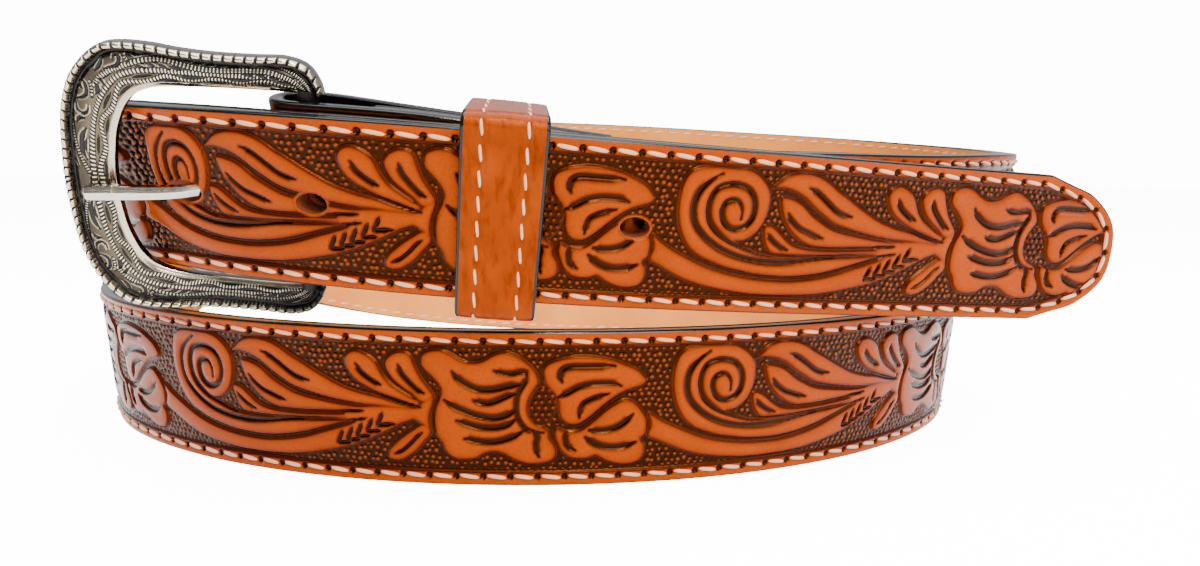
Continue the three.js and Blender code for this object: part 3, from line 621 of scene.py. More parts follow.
def strap_places(distance):
    """Stations anywhere on the strap. Below zero it goes round the fold and down the chape."""
    distance = np.atleast_1d(np.asarray(distance, float))
    fold_length = math.pi * FOLD_RADIUS
    back = np.clip(-distance - fold_length, 0, None)
    points, ahead, up, outward, lean = course.stations(np.where(distance < 0, back, distance))
    heel = [part[:1] for part in course.stations(np.zeros(1))[:4]]
    angle = np.clip(-distance, 0, fold_length)[:, None] / FOLD_RADIUS
    turned = heel[3] * np.cos(angle) - heel[1] * np.sin(angle)
    folded = heel[0] + (turned - heel[3]) * FOLD_RADIUS
    settled = STACK + GLUE + LEATHER
    deep = 2 * FOLD_RADIUS + (settled - 2 * FOLD_RADIUS) * soft_step(back / CHAPE_SETTLE)
    chape = points - outward * deep[:, None]
    on_fold = ((distance < 0) & (back <= 0))[:, None]
    on_chape = (back > 0)[:, None]
    points = np.where(on_fold, folded, np.where(on_chape, chape, points))
    outward = np.where(on_fold, turned, np.where(on_chape, -outward, outward))
    up = np.where(on_fold, heel[2], up)
    return points, up, outward


def on_strap(distance, across, deep):
    """Points in metres at places along, heights across and depths below the face."""
    points, up, outward = strap_places(np.ravel(distance))
    across, deep = np.ravel(across)[:, None], np.ravel(deep)[:, None]
    return (points + up * across - outward * deep) * MM


tip_curve = along_spline(spline(np.array(TIP_SHARES)), np.linspace(0, 1, 240))[0] * STRAP_WIDTH
TAPER_LENGTH = tip_curve[-1, 0]


def half_width(distance):
    """Half the strap's width in the pointed tip."""
    return np.interp(BELT_END - distance, tip_curve[:, 0], tip_curve[:, 1])


def outline(start):
    """The strap's outline from the start along the lower edge, round the tip and back."""
    taper = BELT_END - TAPER_LENGTH
    run = np.arange(start, taper, 1.2)
    low = np.stack([run, 0 * run], 1)
    tip_low = np.stack([BELT_END - tip_curve[::-3, 0], STRAP_WIDTH / 2 - tip_curve[::-3, 1]], 1)
    lower = np.vstack([low, tip_low])
    upper = lower[::-1].copy()
    upper[:, 1] = STRAP_WIDTH - upper[:, 1]
    return np.vstack([lower, upper])


tip_outline = outline(BELT_END - 40)


def edge_room(distance, across):
    """How far a place on the face is from the strap's outline."""
    room = np.minimum(across, STRAP_WIDTH - across)
    near_tip = distance > BELT_END - TAPER_LENGTH - 6
    if near_tip.any():
        spots = np.stack([distance[near_tip], across[near_tip]], 1)
        room[near_tip] = nearest_on(tip_outline, spots)[0]
    return room


def inset_line(line, inset):
    """A line moved to its left by an inset, as points."""
    ahead = unit(np.gradient(line, axis=0))
    return line + np.stack([-ahead[:, 1], ahead[:, 0]], 1) * inset


def even_spots(line, pitch):
    """Spots one pitch apart on a line."""
    reached = run_along(line)
    at = np.arange(pitch / 2, reached[-1], pitch)
    return np.stack([np.interp(at, reached, line[:, k]) for k in (0, 1)], 1)


stitch_holes = even_spots(inset_line(outline(LINING_START + 2), STITCH_ROW), STITCH_PITCH)


def scatter(i, j, salt):
    """A repeatable number from 0 to 1 for each cell."""
    value = np.sin(i * 12.9898 + j * 78.233 + salt * 37.719) * 43758.5453
    return value - np.floor(value)


def beads(along, across, pitch, jitter):
    """Height, 0 to 1, of round beads on a loose triangular lattice."""
    rise = pitch * 0.87
    row = np.round(across / rise)
    best = np.full(along.shape, 1e9)
    for dj in (-1, 0, 1):
        j = row + dj
        shift = 0.5 * np.mod(j, 2)
        column = np.round(along / pitch - shift)
        for di in (-1, 0, 1):
            i = column + di
            x = (i + shift + jitter * (scatter(i, j, 1) - 0.5)) * pitch
            y = (j + jitter * (scatter(i, j, 2) - 0.5)) * rise
            size = 1 + 0.3 * (scatter(i, j, 3) - 0.5)
            best = np.minimum(best, np.hypot(along - x, across - y) / size)
    return np.clip(1 - (best / (0.4 * pitch)) ** 2, 0, 1)


# The place along where tooling begins, and the darkness of the line pressed round it
TOOLING_START = -4
RIM_PASTE = 0.55
BEAD_JITTER = 0.42
SEED_JITTER = 0.2
POD_DEPTH = 0.34
SEED_RISE = 0.26
FACE_DEPTH = 0.06
# The band of the face that holds the stitch channel, and the channel and its needle holes
STITCH_ROOM = (0.6, 2.6)
CHANNEL_HALF = 0.9
CHANNEL_DEPTH = 0.1
NEEDLE_REACH = 0.66
NEEDLE_DEPTH = 0.45
# The rim that the prong has pressed down round each hole
RIM_WIDTH = 0.35
RIM_DEPTH = 0.25
# How far down from the upper edge the edge paint has run over, at places along; there it is also painted
# shade for the narrow gaps between the layers
PAINT_AND_SHADE_PLACES = [-30, -18, 3, 12, 55, 60]
PAINT_AND_SHADE_DOWN = [0.0, 5.0, 5.0, 1.5, 1.3, 0.0]


def prick_stitches(distance, across, room, depth, paste):
    """Presses the stitch channel and its dark needle holes into a face's depth and paste; the holes' dark is
    paste and painted shade.
    """
    near_row = (room > STITCH_ROOM[0]) & (room < STITCH_ROOM[1])
    if not near_row.any():
        return
    spots = np.stack([distance[near_row], across[near_row]], 1)
    first, last = spots[:, 0].min() - 2, spots[:, 0].max() + 2
    keep = (stitch_holes[:, 0] > first) & (stitch_holes[:, 0] < last)
    gap = np.full(len(spots), 9.0)
    for hole in stitch_holes[keep]:
        close = np.abs(spots[:, 0] - hole[0]) < 1.5
        away = spots[close] - hole
        gap[close] = np.minimum(gap[close], np.hypot(away[:, 0], away[:, 1] * 0.9))
    pricked = soft_step((NEEDLE_REACH - gap) / 0.36)
    channel = soft_step((CHANNEL_HALF - np.abs(room[near_row] - STITCH_ROW)) / 0.6)
    depth[near_row] += NEEDLE_DEPTH * pricked + CHANNEL_DEPTH * channel
    # Paste and painted shade darken each needle hole
    paste[near_row] = np.maximum(paste[near_row], 1.1 * pricked)


def wear_hole_rims(distance, across, depth, paste):
    """A face's depth and paste with the rims of the holes pressed and rubbed, and their wear."""
    rim_wear = np.zeros(len(distance))
    for hole, half in HOLES:
        x = (distance - hole) / (half + RIM_WIDTH)
        y = (across - STRAP_WIDTH / 2) / (HOLE_WIDTH / 2 + RIM_WIDTH)
        reach = np.hypot(x, y)
        close = soft_step((1.06 - reach) / 0.16)
        depth = depth * (1 - close) + close * (RIM_DEPTH + 0.3 * soft_step((0.95 - reach) / 0.2))
        rim_wear = np.maximum(rim_wear, close)
        paste = paste * (1 - close) + 0.6 * close
    return depth, paste, rim_wear


def carve(distance, across):
    """Depth in millimetres, and the dye (paste, ground, bead and worn rim) on the face."""
    room = edge_room(distance, across)
    phase = np.interp(distance, *np.array(PHASES).T)
    span = (CHART_STITCHES[1] - CHART_STITCHES[0]) / (STRAP_WIDTH - sum(STITCH_INSET))
    height = CHART_STITCHES[0] + (across - STITCH_INSET[0]) * span
    begun = soft_step((distance - TOOLING_START) / 3)
    tooled = soft_step((room - BORDER) / 0.3) * begun
    raised = chart.sample(chart.raised, phase, height)
    cut = chart.sample(chart.cut, phase, height)
    shade = chart.sample(chart.shade, phase, height)
    pod = chart.sample(chart.seeds, phase, height)
    in_pod = soft_step((pod + 0.1) / 0.3)
    seed = beads(phase, height, SEED_PITCH, SEED_JITTER) * in_pod
    ground = (1 - soft_step((raised + 0.2) / 0.4)) * (1 - in_pod)
    clear = soft_step((-raised - 0.25) / 0.3) * soft_step((room - BORDER - 0.35) / 0.3)
    bead = beads(distance, across, BEAD_PITCH, BEAD_JITTER) * ground * clear
    pillow = PILLOW * soft_step(raised / 1.3) * (1 - in_pod)
    sunk = GROUND_DEPTH * (ground - 0.5 * bead) + CUT_DEPTH * cut * (1 - ground) * (1 - in_pod)
    sunk += in_pod * (POD_DEPTH - SEED_RISE * seed) + FACE_DEPTH - pillow
    depth = tooled * sunk
    edge_shade = 0.8 * np.exp(-np.clip(raised, 0, None) / 0.3) * (1 - ground) * (1 - in_pod)
    paste = np.maximum(shade * (1 - in_pod), edge_shade) * (raised > -0.3)
    paste = np.maximum(paste, in_pod * (0.95 - 0.8 * seed))
    rim = np.exp(-((room - BORDER) / 0.3) ** 2) * RIM_PASTE * begun
    paste = np.maximum(paste * tooled, rim)
    past_edge = np.clip(EDGE_ROUND - room, 0, None)
    depth += EDGE_ROUND - np.sqrt(np.clip(EDGE_ROUND ** 2 - past_edge ** 2, 0, None))
    prick_stitches(distance, across, room, depth, paste)
    depth, paste, rim_wear = wear_hole_rims(distance, across, depth, paste)
    # The edge paint runs over onto the fold and the buckled layer's upper border, and there it is also
    # painted shade for the narrow gaps between the layers
    paint_and_shade_down = np.interp(distance, PAINT_AND_SHADE_PLACES, PAINT_AND_SHADE_DOWN)
    paste = np.maximum(paste, 1.2 * soft_step((paint_and_shade_down - STRAP_WIDTH + across) / 0.3))
    ground = ground * (across < STRAP_WIDTH - paint_and_shade_down)
    in_ground = ground * tooled * (1 - rim_wear)
    return depth, np.stack([np.clip(paste, 0, 1), in_ground, bead * tooled, rim_wear], 1)


def open_holes(holes, distance, across, step):
    """Moves the places nearest a hole's edge onto it, and says which places are inside."""
    gone = np.zeros(distance.shape, bool)
    for hole, half in holes:
        x = (distance - hole) / half
        y = (across - STRAP_WIDTH / 2) / (HOLE_WIDTH / 2)
        reach = np.hypot(x, y) + 1e-9
        edge = np.abs(reach - 1) < 1.24 * step / HOLE_WIDTH
        distance = np.where(edge, hole + x / reach * half, distance)
        across = np.where(edge, STRAP_WIDTH / 2 + y / reach * HOLE_WIDTH / 2, across)
        gone |= (reach < 1) | edge
    return distance, across, gone


def sheet_faces(rows, columns, gone=None, flip=False):
    """Quads of a grid, without those whose four corners are all gone."""
    index = np.arange(rows * columns).reshape(rows, columns)
    corners = [index[:-1, :-1], index[1:, :-1], index[1:, 1:], index[:-1, 1:]]
    quads = np.stack(corners, -1).reshape(-1, 4)
    if gone is not None:
        quads = quads[~gone.ravel()[quads].all(1)]
    return quads[:, ::-1] if flip else quads


def drop_loose(points, faces, extra=None):
    """Keeps only the points that a face uses."""
    used = np.unique(faces)
    renumber = np.full(len(points), -1)
    renumber[used] = np.arange(len(used))
    return points[used], renumber[faces], None if extra is None else extra[used]


def paint(piece, name, values):
    """Gives each point of a piece four values that its material reads by name."""
    layer = piece.data.attributes.new(name, "FLOAT_COLOR", "POINT")
    layer.data.foreach_set("color", np.asarray(values, np.float32).ravel())


antiqued_leather = new_material("antiqued_tooled_cowhide")
dye = add(antiqued_leather, "ShaderNodeAttribute", attribute_name="dye")
channels = add(antiqued_leather, "ShaderNodeSeparateColor", {"Color": dye.outputs["Color"]})
place = add(antiqued_leather, "ShaderNodeTexCoord").outputs["Object"]
# Broad dye clouds about 9 mm wide, and pores drawn 0.35 mm wide so that they show
clouds = add(antiqued_leather, "ShaderNodeTexNoise", {"Vector": place, "Scale": 1 / 0.009, "Detail": 3.0})
pores = add(antiqued_leather, "ShaderNodeTexNoise", {"Vector": place, "Scale": 1 / 0.00035, "Detail": 2.0})
tone = add(antiqued_leather, "ShaderNodeMix", {
    "Factor": clouds.outputs["Fac"], 6: linear("#742800"), 7: linear("#8E3600")}, data_type="RGBA")
freckle = add(antiqued_leather, "ShaderNodeMapRange", {
    "Value": pores.outputs["Fac"], "From Min": 0.35, "From Max": 0.62, "To Min": 0.22, "To Max": 0.0})
speckled = add(antiqued_leather, "ShaderNodeMix", {
    "Factor": freckle.outputs["Result"], 6: tone.outputs[2], 7: linear("#4E1000")}, data_type="RGBA")
brown = add(antiqued_leather, "ShaderNodeMapRange", {
    "Value": channels.outputs["Red"], "From Min": 0.0, "From Max": 0.42})
shaded = add(antiqued_leather, "ShaderNodeMix", {
    "Factor": brown.outputs["Result"], 6: speckled.outputs[2], 7: linear("#420D00")}, data_type="RGBA")
deep = add(antiqued_leather, "ShaderNodeMapRange", {
    "Value": channels.outputs["Red"], "From Min": 0.28, "From Max": 0.7})
cut_paste = add(antiqued_leather, "ShaderNodeMix", {
    "Factor": deep.outputs["Result"], 6: shaded.outputs[2], 7: linear("#080201")}, data_type="RGBA")
bead_top = add(antiqued_leather, "ShaderNodeMapRange", {
    "Value": channels.outputs["Blue"], "From Min": 0.4, "From Max": 1.0})
ground_tone = add(antiqued_leather, "ShaderNodeMix", {
    "Factor": bead_top.outputs["Result"], 6: linear("#080201"), 7: linear("#742E0A")}, data_type="RGBA")
face_tone = add(antiqued_leather, "ShaderNodeMix", {
    "Factor": channels.outputs["Green"], 6: cut_paste.outputs[2], 7: ground_tone.outputs[2]},
    data_type="RGBA")
worn = add(antiqued_leather, "ShaderNodeMix", {
    "Factor": dye.outputs["Alpha"], 6: face_tone.outputs[2], 7: linear("#7A3008")}, data_type="RGBA")
grain = add(antiqued_leather, "ShaderNodeBump", {
    "Height": pores.outputs["Fac"], "Strength": 0.35, "Distance": 0.00006})
gloss = add(antiqued_leather, "ShaderNodeMapRange", {
    "Value": clouds.outputs["Fac"], "From Min": 0.3, "From Max": 0.7, "To Min": 0.14, "To Max": 0.26})
skin = add(antiqued_leather, "ShaderNodeBsdfPrincipled", {
    "Base Color": worn.outputs[2], "Roughness": gloss.outputs["Result"], "IOR": 1.5,
    "Specular IOR Level": 0.22, "Specular Tint": linear("#FF8A48"), "Normal": grain.outputs["Normal"]})
finish_material(antiqued_leather, skin)


def tooled_face(name, start, end, step):
    """One stretch of the carved face as a fine sheet."""
    taper = BELT_END - TAPER_LENGTH
    rows = int(round((end - start) / step)) + 1
    along = np.linspace(start, end, rows)
    if end >= BELT_END:
        along = np.append(along[along < BELT_END - 0.3], BELT_END - np.array([0.3, 0.18, 0.09, 0.03, 0.0]))
    columns = int(round(STRAP_WIDTH / step)) + 1
    half = np.where(along > taper, half_width(along), STRAP_WIDTH / 2) - 0.06
    spread = np.linspace(-1, 1, columns)
    distance = np.repeat(along[:, None], columns, 1)
    across = STRAP_WIDTH / 2 + np.clip(half, 0.02, None)[:, None] * spread[None]
    distance, across, gone = open_holes(HOLES, distance, across, step)
    depth, dye_values = carve(distance.ravel(), across.ravel())
    points = on_strap(distance, across, depth)
    faces = sheet_faces(len(along), columns, gone)
    points, faces, dye_values = drop_loose(points, faces, dye_values)
    piece = mesh_object(name, points, faces, antiqued_leather)
    paint(piece, "dye", dye_values)
    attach(piece, "root")
    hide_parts("tooled_strap")


TIP_STRETCH = BELT_END - 176
FRONT_START, FRONT_MIDDLE, FRONT_END = 496, 592, 690
tooled_face("tooled_tip_stretch", TIP_STRETCH, BELT_END, FINE_STEP)
tooled_face("tooled_front_left", FRONT_START, FRONT_MIDDLE, FINE_STEP)
tooled_face("tooled_front_right", FRONT_MIDDLE, FRONT_END, FINE_STEP)
tooled_face("tooled_upper_turn", TOOLING_START, FRONT_START, COARSE_STEP)
tooled_face("tooled_rising_turn", FRONT_END, TIP_STRETCH, COARSE_STEP)

# The burnished edge
# Leather and lining are glued, trimmed together, rounded, and painted with glossy black
# edge paint, rubbed to a shine. The glue line still shows as a fine furrow.
# Each row: depth below the face and inset from the outline, in millimetres.
DOUBLE_EDGE = [
    (0.02, 0.30), (0.08, 0.16), (0.22, 0.06), (0.45, 0.01), (0.9, 0.0), (1.5, 0.0), (1.95, 0.04),
    (2.22, 0.14), (2.38, 0.27), (2.55, 0.14), (2.8, 0.04), (3.1, 0.04), (3.35, 0.15), (3.5, 0.4),
]
SINGLE_EDGE = [
    (0.02, 0.30), (0.08, 0.16), (0.22, 0.06), (0.45, 0.01), (1.1, 0.0), (1.75, 0.03), (2.05, 0.16),
    (2.2, 0.4),
]

edge_paint = new_material("black_edge_paint")
edge_place = add(edge_paint, "ShaderNodeTexCoord").outputs["Object"]
# Brush ripples about 0.6 mm apart catch the light
ripples = add(edge_paint, "ShaderNodeTexNoise", {"Vector": edge_place, "Scale": 1 / 0.0006, "Detail": 2.0})
rippled = add(edge_paint, "ShaderNodeBump", {
    "Height": ripples.outputs["Fac"], "Strength": 0.4, "Distance": 0.00005})
lacquer = add(edge_paint, "ShaderNodeBsdfPrincipled", {
    "Base Color": linear("#070607"), "Roughness": 0.16, "IOR": 1.5, "Specular IOR Level": 0.25,
    "Normal": rippled.outputs["Normal"]})
finish_material(edge_paint, lacquer)


def edge_strip(name, line, profile):
    """The painted edge swept along an outline that has the strap on its left."""
    rows = []
    for deep_value, inset in profile:
        moved = inset_line(line, inset)
        rows.append(on_strap(moved[:, 0], moved[:, 1], np.full(len(moved), deep_value)))
    points = np.stack(rows, 1).reshape(-1, 3)
    piece = mesh_object(name, points, sheet_faces(len(line), len(profile), flip=True), edge_paint)
    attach(piece, "root")
    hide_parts("tooled_strap")


edge_strip("burnished_edge", outline(LINING_START), DOUBLE_EDGE)
chape_run = np.arange(CHAPE_START, LINING_START + 0.6, 0.6)
for name, height in (("chape_edge_low", 0), ("chape_edge_high", STRAP_WIDTH)):
    chape_line = np.stack([chape_run, np.full(len(chape_run), height)], 1)
    if height:
        chape_line = chape_line[::-1]
    edge_strip(name, chape_line, SINGLE_EDGE)

# The lining
# Thin natural veg-tan leather, pale and a little waxy, glued flesh to flesh behind the
# tooled strap from just past the fold to the tip.
natural_leather = new_material("natural_lining_leather")
lining_place = add(natural_leather, "ShaderNodeTexCoord").outputs["Object"]
# Soft clouds about 14 mm wide, and a pressed grain drawn 0.5 mm wide
lining_clouds = add(natural_leather, "ShaderNodeTexNoise", {
    "Vector": lining_place, "Scale": 1 / 0.014, "Detail": 4.0})
lining_grain = add(natural_leather, "ShaderNodeTexNoise", {
    "Vector": lining_place, "Scale": 1 / 0.0005, "Detail": 3.0})
lining_tone = add(natural_leather, "ShaderNodeMix", {
    "Factor": lining_clouds.outputs["Fac"], 6: linear("#AC5C18"), 7: linear("#D08634")}, data_type="RGBA")
lining_speck = add(natural_leather, "ShaderNodeMapRange", {
    "Value": lining_grain.outputs["Fac"], "From Min": 0.3, "From Max": 0.6, "To Min": 0.2, "To Max": 0.0})
lining_mottle = add(natural_leather, "ShaderNodeMix", {
    "Factor": lining_speck.outputs["Result"], 6: lining_tone.outputs[2], 7: linear("#965A2C")},
    data_type="RGBA")
lining_bump = add(natural_leather, "ShaderNodeBump", {
    "Height": lining_grain.outputs["Fac"], "Strength": 0.4, "Distance": 0.00008})
lining_skin = add(natural_leather, "ShaderNodeBsdfPrincipled", {
    "Base Color": lining_mottle.outputs[2], "Roughness": 0.5, "IOR": 1.45, "Specular IOR Level": 0.25,
    "Normal": lining_bump.outputs["Normal"]})
finish_material(natural_leather, lining_skin)


def lining_sheet(name, start, end, step):
    """The lining's bare side between two places."""
    along = np.linspace(start, end, int(round((end - start) / step)) + 1)
    if end >= BELT_END:
        along = np.append(along[along < BELT_END - 1.2], BELT_END - np.array([1.2, 0.8, 0.5, 0.42]))
    columns = int(round(STRAP_WIDTH / step)) + 1
    half = np.where(along > BELT_END - TAPER_LENGTH, half_width(along), STRAP_WIDTH / 2) - 0.38
    distance = np.repeat(along[:, None], columns, 1)
    across = STRAP_WIDTH / 2 + np.clip(half, 0.05, None)[:, None] * np.linspace(-1, 1, columns)[None]
    distance, across, gone = open_holes(LINING_HOLES, distance, across, step)
    points = on_strap(distance, across, np.full(distance.size, STACK))
    points, faces = drop_loose(points, sheet_faces(len(along), columns, gone, flip=True))[:2]
    piece = mesh_object(name, points, faces, natural_leather)
    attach(piece, "root")
    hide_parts("strap_lining")


LINING_SPLIT = TIP_STRETCH - 20
LINING_STEP = 1.3
lining_sheet("lining_tip_stretch", LINING_SPLIT, BELT_END, COARSE_STEP)
lining_sheet("lining_turns", LINING_START, LINING_SPLIT, LINING_STEP)

# The stitching
# Thick waxed white thread, sewn along both edges and round the tip. Each stitch is a
# plump lozenge between two needle holes, pulled down at its ends and set a little aslant.
# Length, half width, rise and sink of a stitch on the face and of one on the lining
FACE_STITCH = (3.4, 0.39, 0.42, 0.18)
LINING_STITCH = (3.2, 0.38, 0.22, 0.15)
STITCH_SLANT = 0.13

waxed_thread = new_material("waxed_white_thread")
twist_and_shade = add(waxed_thread, "ShaderNodeAttribute", attribute_name="twist_and_shade")
thread_place = add(waxed_thread, "ShaderNodeTexCoord").outputs["Object"]
# The thread's fine plies cross the stitch about every 0.3 mm
plies = add(waxed_thread, "ShaderNodeTexWave", {
    "Vector": twist_and_shade.outputs["Vector"], "Scale": 1.0, "Distortion": 0.6, "Detail": 1.0},
    wave_type="BANDS", bands_direction="DIAGONAL")
ply_bump = add(waxed_thread, "ShaderNodeBump", {
    "Height": plies.outputs["Fac"], "Strength": 0.35, "Distance": 0.00008})
# Dye from the leather stains the thread in patches some 5 mm long
stain = add(waxed_thread, "ShaderNodeTexNoise", {"Vector": thread_place, "Scale": 1 / 0.005, "Detail": 2.0})
thread_tone = add(waxed_thread, "ShaderNodeMix", {
    "Factor": stain.outputs["Fac"], 6: linear("#CC9A78"), 7: linear("#BC7854")}, data_type="RGBA")
# Painted shade darkens each stitch towards its ends, where it dives into the needle holes, and along its
# sides
thread_shaded = add(waxed_thread, "ShaderNodeMix", {
    "Factor": twist_and_shade.outputs["Alpha"], 6: thread_tone.outputs[2], 7: linear("#A85A35")}, data_type="RGBA")
thread_skin = add(waxed_thread, "ShaderNodeBsdfPrincipled", {
    "Base Color": thread_shaded.outputs[2], "Roughness": 0.55, "Sheen Weight": 0.1,
    "Normal": ply_bump.outputs["Normal"]})
finish_material(waxed_thread, thread_skin)


def stitch_row(name, spots, ways, lay, sizes, node):
    """Lozenge stitches centred on spots. lay turns along, across and rise into points."""
    length, half, rise, sink = sizes
    along = np.linspace(-1, 1, 9)
    side = np.linspace(-1, 1, 6)
    u, v = [grid.ravel() for grid in np.meshgrid(along, side, indexing="ij")]
    plump = (1 - np.abs(u) ** 3.2) ** 0.6
    x = u * length / 2
    y = v * half * (0.35 + 0.65 * plump)
    z = (rise + sink) * np.sqrt(np.clip(1 - v ** 2, 0, 1)) * (0.25 + 0.75 * plump) - sink - 0.12 * u ** 4
    c, s = math.cos(STITCH_SLANT), math.sin(STITCH_SLANT)
    x, y = x * c + y * s, y * c - x * s
    left = np.stack([-ways[:, 1], ways[:, 0]], 1)
    at = spots[:, None] + x[None, :, None] * ways[:, None] + y[None, :, None] * left[:, None]
    points = lay(at[..., 0].ravel(), at[..., 1].ravel(), np.tile(z, len(spots)))
    quads = sheet_faces(len(along), len(side))
    faces = (quads[None] + np.arange(len(spots))[:, None, None] * len(u)).reshape(-1, 4)
    piece = mesh_object(name, points, faces, waxed_thread)
    # The alpha is painted shade, darkest at the stitch's ends and sides
    end_shade = 0.75 * np.abs(u) ** 5 + 0.3 * np.abs(v) ** 4
    marks = np.stack([u * length * 1.1, v * half, 0 * u, np.clip(end_shade, 0, 1)], 1)
    paint(piece, "twist_and_shade", np.tile(marks, (len(spots), 1)))
    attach(piece, "root")
    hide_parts(node)


between = (stitch_holes[:-1] + stitch_holes[1:]) / 2
between_ways = unit(stitch_holes[1:] - stitch_holes[:-1])
stitch_row("face_stitches", between, between_ways,
           lambda along, across, rise: on_strap(along, across, 0.1 - rise),
           FACE_STITCH, "tooled_strap")
stitch_row("lining_stitches", between, between_ways,
           lambda along, across, rise: on_strap(along, across, STACK + rise),
           LINING_STITCH, "strap_lining")

# The hole walls
# The holes are punched through leather and lining and their cut edges rubbed smooth.
# The prong's own hole is pulled slanting by use.
rubbed_cut = new_material("rubbed_cut_leather")
cut_place = add(rubbed_cut, "ShaderNodeTexCoord").outputs["Object"]
# Fibres about 0.3 mm thick in the cut
fibres = add(rubbed_cut, "ShaderNodeTexNoise", {"Vector": cut_place, "Scale": 1 / 0.0003, "Detail": 3.0})
cut_tone = add(rubbed_cut, "ShaderNodeMix", {
    "Factor": fibres.outputs["Fac"], 6: linear("#3A1204"), 7: linear("#7C3410")}, data_type="RGBA")
cut_bump = add(rubbed_cut, "ShaderNodeBump", {
    "Height": fibres.outputs["Fac"], "Strength": 0.5, "Distance": 0.0001})
cut_skin = add(rubbed_cut, "ShaderNodeBsdfPrincipled", {
    "Base Color": cut_tone.outputs[2], "Roughness": 0.6, "IOR": 1.45, "Normal": cut_bump.outputs["Normal"]})
finish_material(rubbed_cut, cut_skin)

WALL_STEPS = 48
WALL_ROWS = 6
WALL_TOP = 0.5


def hole_wall(name, face_hole, lining_hole):
    """The cut wall of one hole, from the face's oval to the lining's."""
    angle = np.linspace(0, 2 * math.pi, WALL_STEPS + 1)
    across = STRAP_WIDTH / 2 + HOLE_WIDTH / 2 * np.sin(angle)
    rows = []
    for share in np.linspace(0, 1, WALL_ROWS):
        centre = face_hole[0] * (1 - share) + lining_hole[0] * share
        half = face_hole[1] * (1 - share) + lining_hole[1] * share
        deep_value = WALL_TOP + share * (STACK - WALL_TOP)
        rows.append(on_strap(centre + half * np.cos(angle), across, np.full(len(angle), deep_value)))
    points = np.stack(rows, 1).reshape(-1, 3)
    piece = mesh_object(name, points, sheet_faces(len(angle), WALL_ROWS), rubbed_cut)
    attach(piece, "root")
    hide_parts("tooled_strap")


for number, (face_hole, lining_hole) in enumerate(zip(HOLES, LINING_HOLES)):
    hole_wall(f"hole_wall_{number}", face_hole, lining_hole)

# The fold and the chape
# The strap's end is skived, folded round the heel bar and glued down behind the strap,
# with a slot cut through it for the prong. Its inside is bare leather.
# The slot's middle along, its half length, its middle across and its half width
CHAPE_SLOT = (-math.pi * FOLD_RADIUS / 2, 6.4, 12.7, 1.9)
SLOT_STEPS = 65


def cut_slot(distance, across, step):
    """Cuts the slot in a sheet: places inside it are dropped, and those nearest move to its edge."""
    x = (distance - CHAPE_SLOT[0]) / CHAPE_SLOT[1]
    y = (across - CHAPE_SLOT[2]) / CHAPE_SLOT[3]
    reach = (np.abs(x) ** 4 + np.abs(y) ** 4) ** 0.25 + 1e-9
    edge = np.abs(reach - 1) < 0.6 * step / CHAPE_SLOT[3]
    distance = np.where(edge, CHAPE_SLOT[0] + x / reach * CHAPE_SLOT[1], distance)
    across = np.where(edge, CHAPE_SLOT[2] + y / reach * CHAPE_SLOT[3], across)
    return distance, across, (reach < 1) | edge


def fold_sheet(name, start, end, deep_value, material, flip, low=0.06, high=STRAP_WIDTH - 0.06):
    """A sheet of the fold and chape. At depth 0 it is the carved and dyed face."""
    along = np.linspace(start, end, int((end - start) / 0.5) + 1)
    across = np.linspace(low, high, int((high - low) / 0.4) + 1)
    distance, across = np.meshgrid(along, across, indexing="ij")
    distance, across, gone = cut_slot(distance, across, 0.5)
    if deep_value:
        depth, dye_values = np.full(distance.size, deep_value), None
    else:
        depth, dye_values = carve(distance.ravel(), across.ravel())
    points = on_strap(distance, across, depth)
    faces = sheet_faces(*distance.shape, gone, flip=flip)
    points, faces, dye_values = drop_loose(points, faces, dye_values)
    piece = mesh_object(name, points, faces, material)
    if dye_values is not None:
        paint(piece, "dye", dye_values)
    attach(piece, "root")
    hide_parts("tooled_strap")


fold_sheet("chape_face", CHAPE_START, TOOLING_START, 0, antiqued_leather, False)
# Edge paint has run in over the upper part of the fold's inside; this black sheet is also painted shade, for
# the deep shade in the gap between the layers
PAINT_AND_SHADE_RUN = STRAP_WIDTH - 5
fold_sheet("chape_inside", CHAPE_START, LINING_START + 0.5, LEATHER, rubbed_cut, True, high=PAINT_AND_SHADE_RUN)
fold_sheet("chape_inside_paint_and_shade", CHAPE_START, LINING_START + 0.5, LEATHER, edge_paint, True, low=PAINT_AND_SHADE_RUN)
slot_angle = np.linspace(0, 2 * math.pi, SLOT_STEPS)
slot_round = (np.abs(np.cos(slot_angle)) ** 4 + np.abs(np.sin(slot_angle)) ** 4) ** -0.25
slot_rows = [
    on_strap(CHAPE_SLOT[0] + CHAPE_SLOT[1] * slot_round * np.cos(slot_angle),
             CHAPE_SLOT[2] + CHAPE_SLOT[3] * slot_round * np.sin(slot_angle),
             np.full(SLOT_STEPS, deep_value))
    for deep_value in (0.1, 0.8, 1.5, LEATHER)
]
slot_wall = mesh_object("chape_slot_wall", np.stack(slot_rows, 1).reshape(-1, 3),
                        sheet_faces(SLOT_STEPS, len(slot_rows)), rubbed_cut)
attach(slot_wall, "root")
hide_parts("tooled_strap")

# The end of the chape and of the lining behind it, each a thin bare cut
for name, at, top, bottom, node, slot in (
        ("chape_end", CHAPE_START, 0.3, LEATHER, "tooled_strap", "tooled_leather"),
        ("lining_end", LINING_START, LEATHER + GLUE, STACK, "strap_lining", "lining_leather")):
    heights = np.linspace(0.2, STRAP_WIDTH - 0.2, 40)
    height, deep_value = np.meshgrid(heights, np.linspace(top, bottom, 4), indexing="ij")
    points = on_strap(np.full(height.size, at), height, deep_value)
    end_cut = mesh_object(name, points, sheet_faces(*height.shape), rubbed_cut)
    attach(end_cut, "root")
    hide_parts(node)

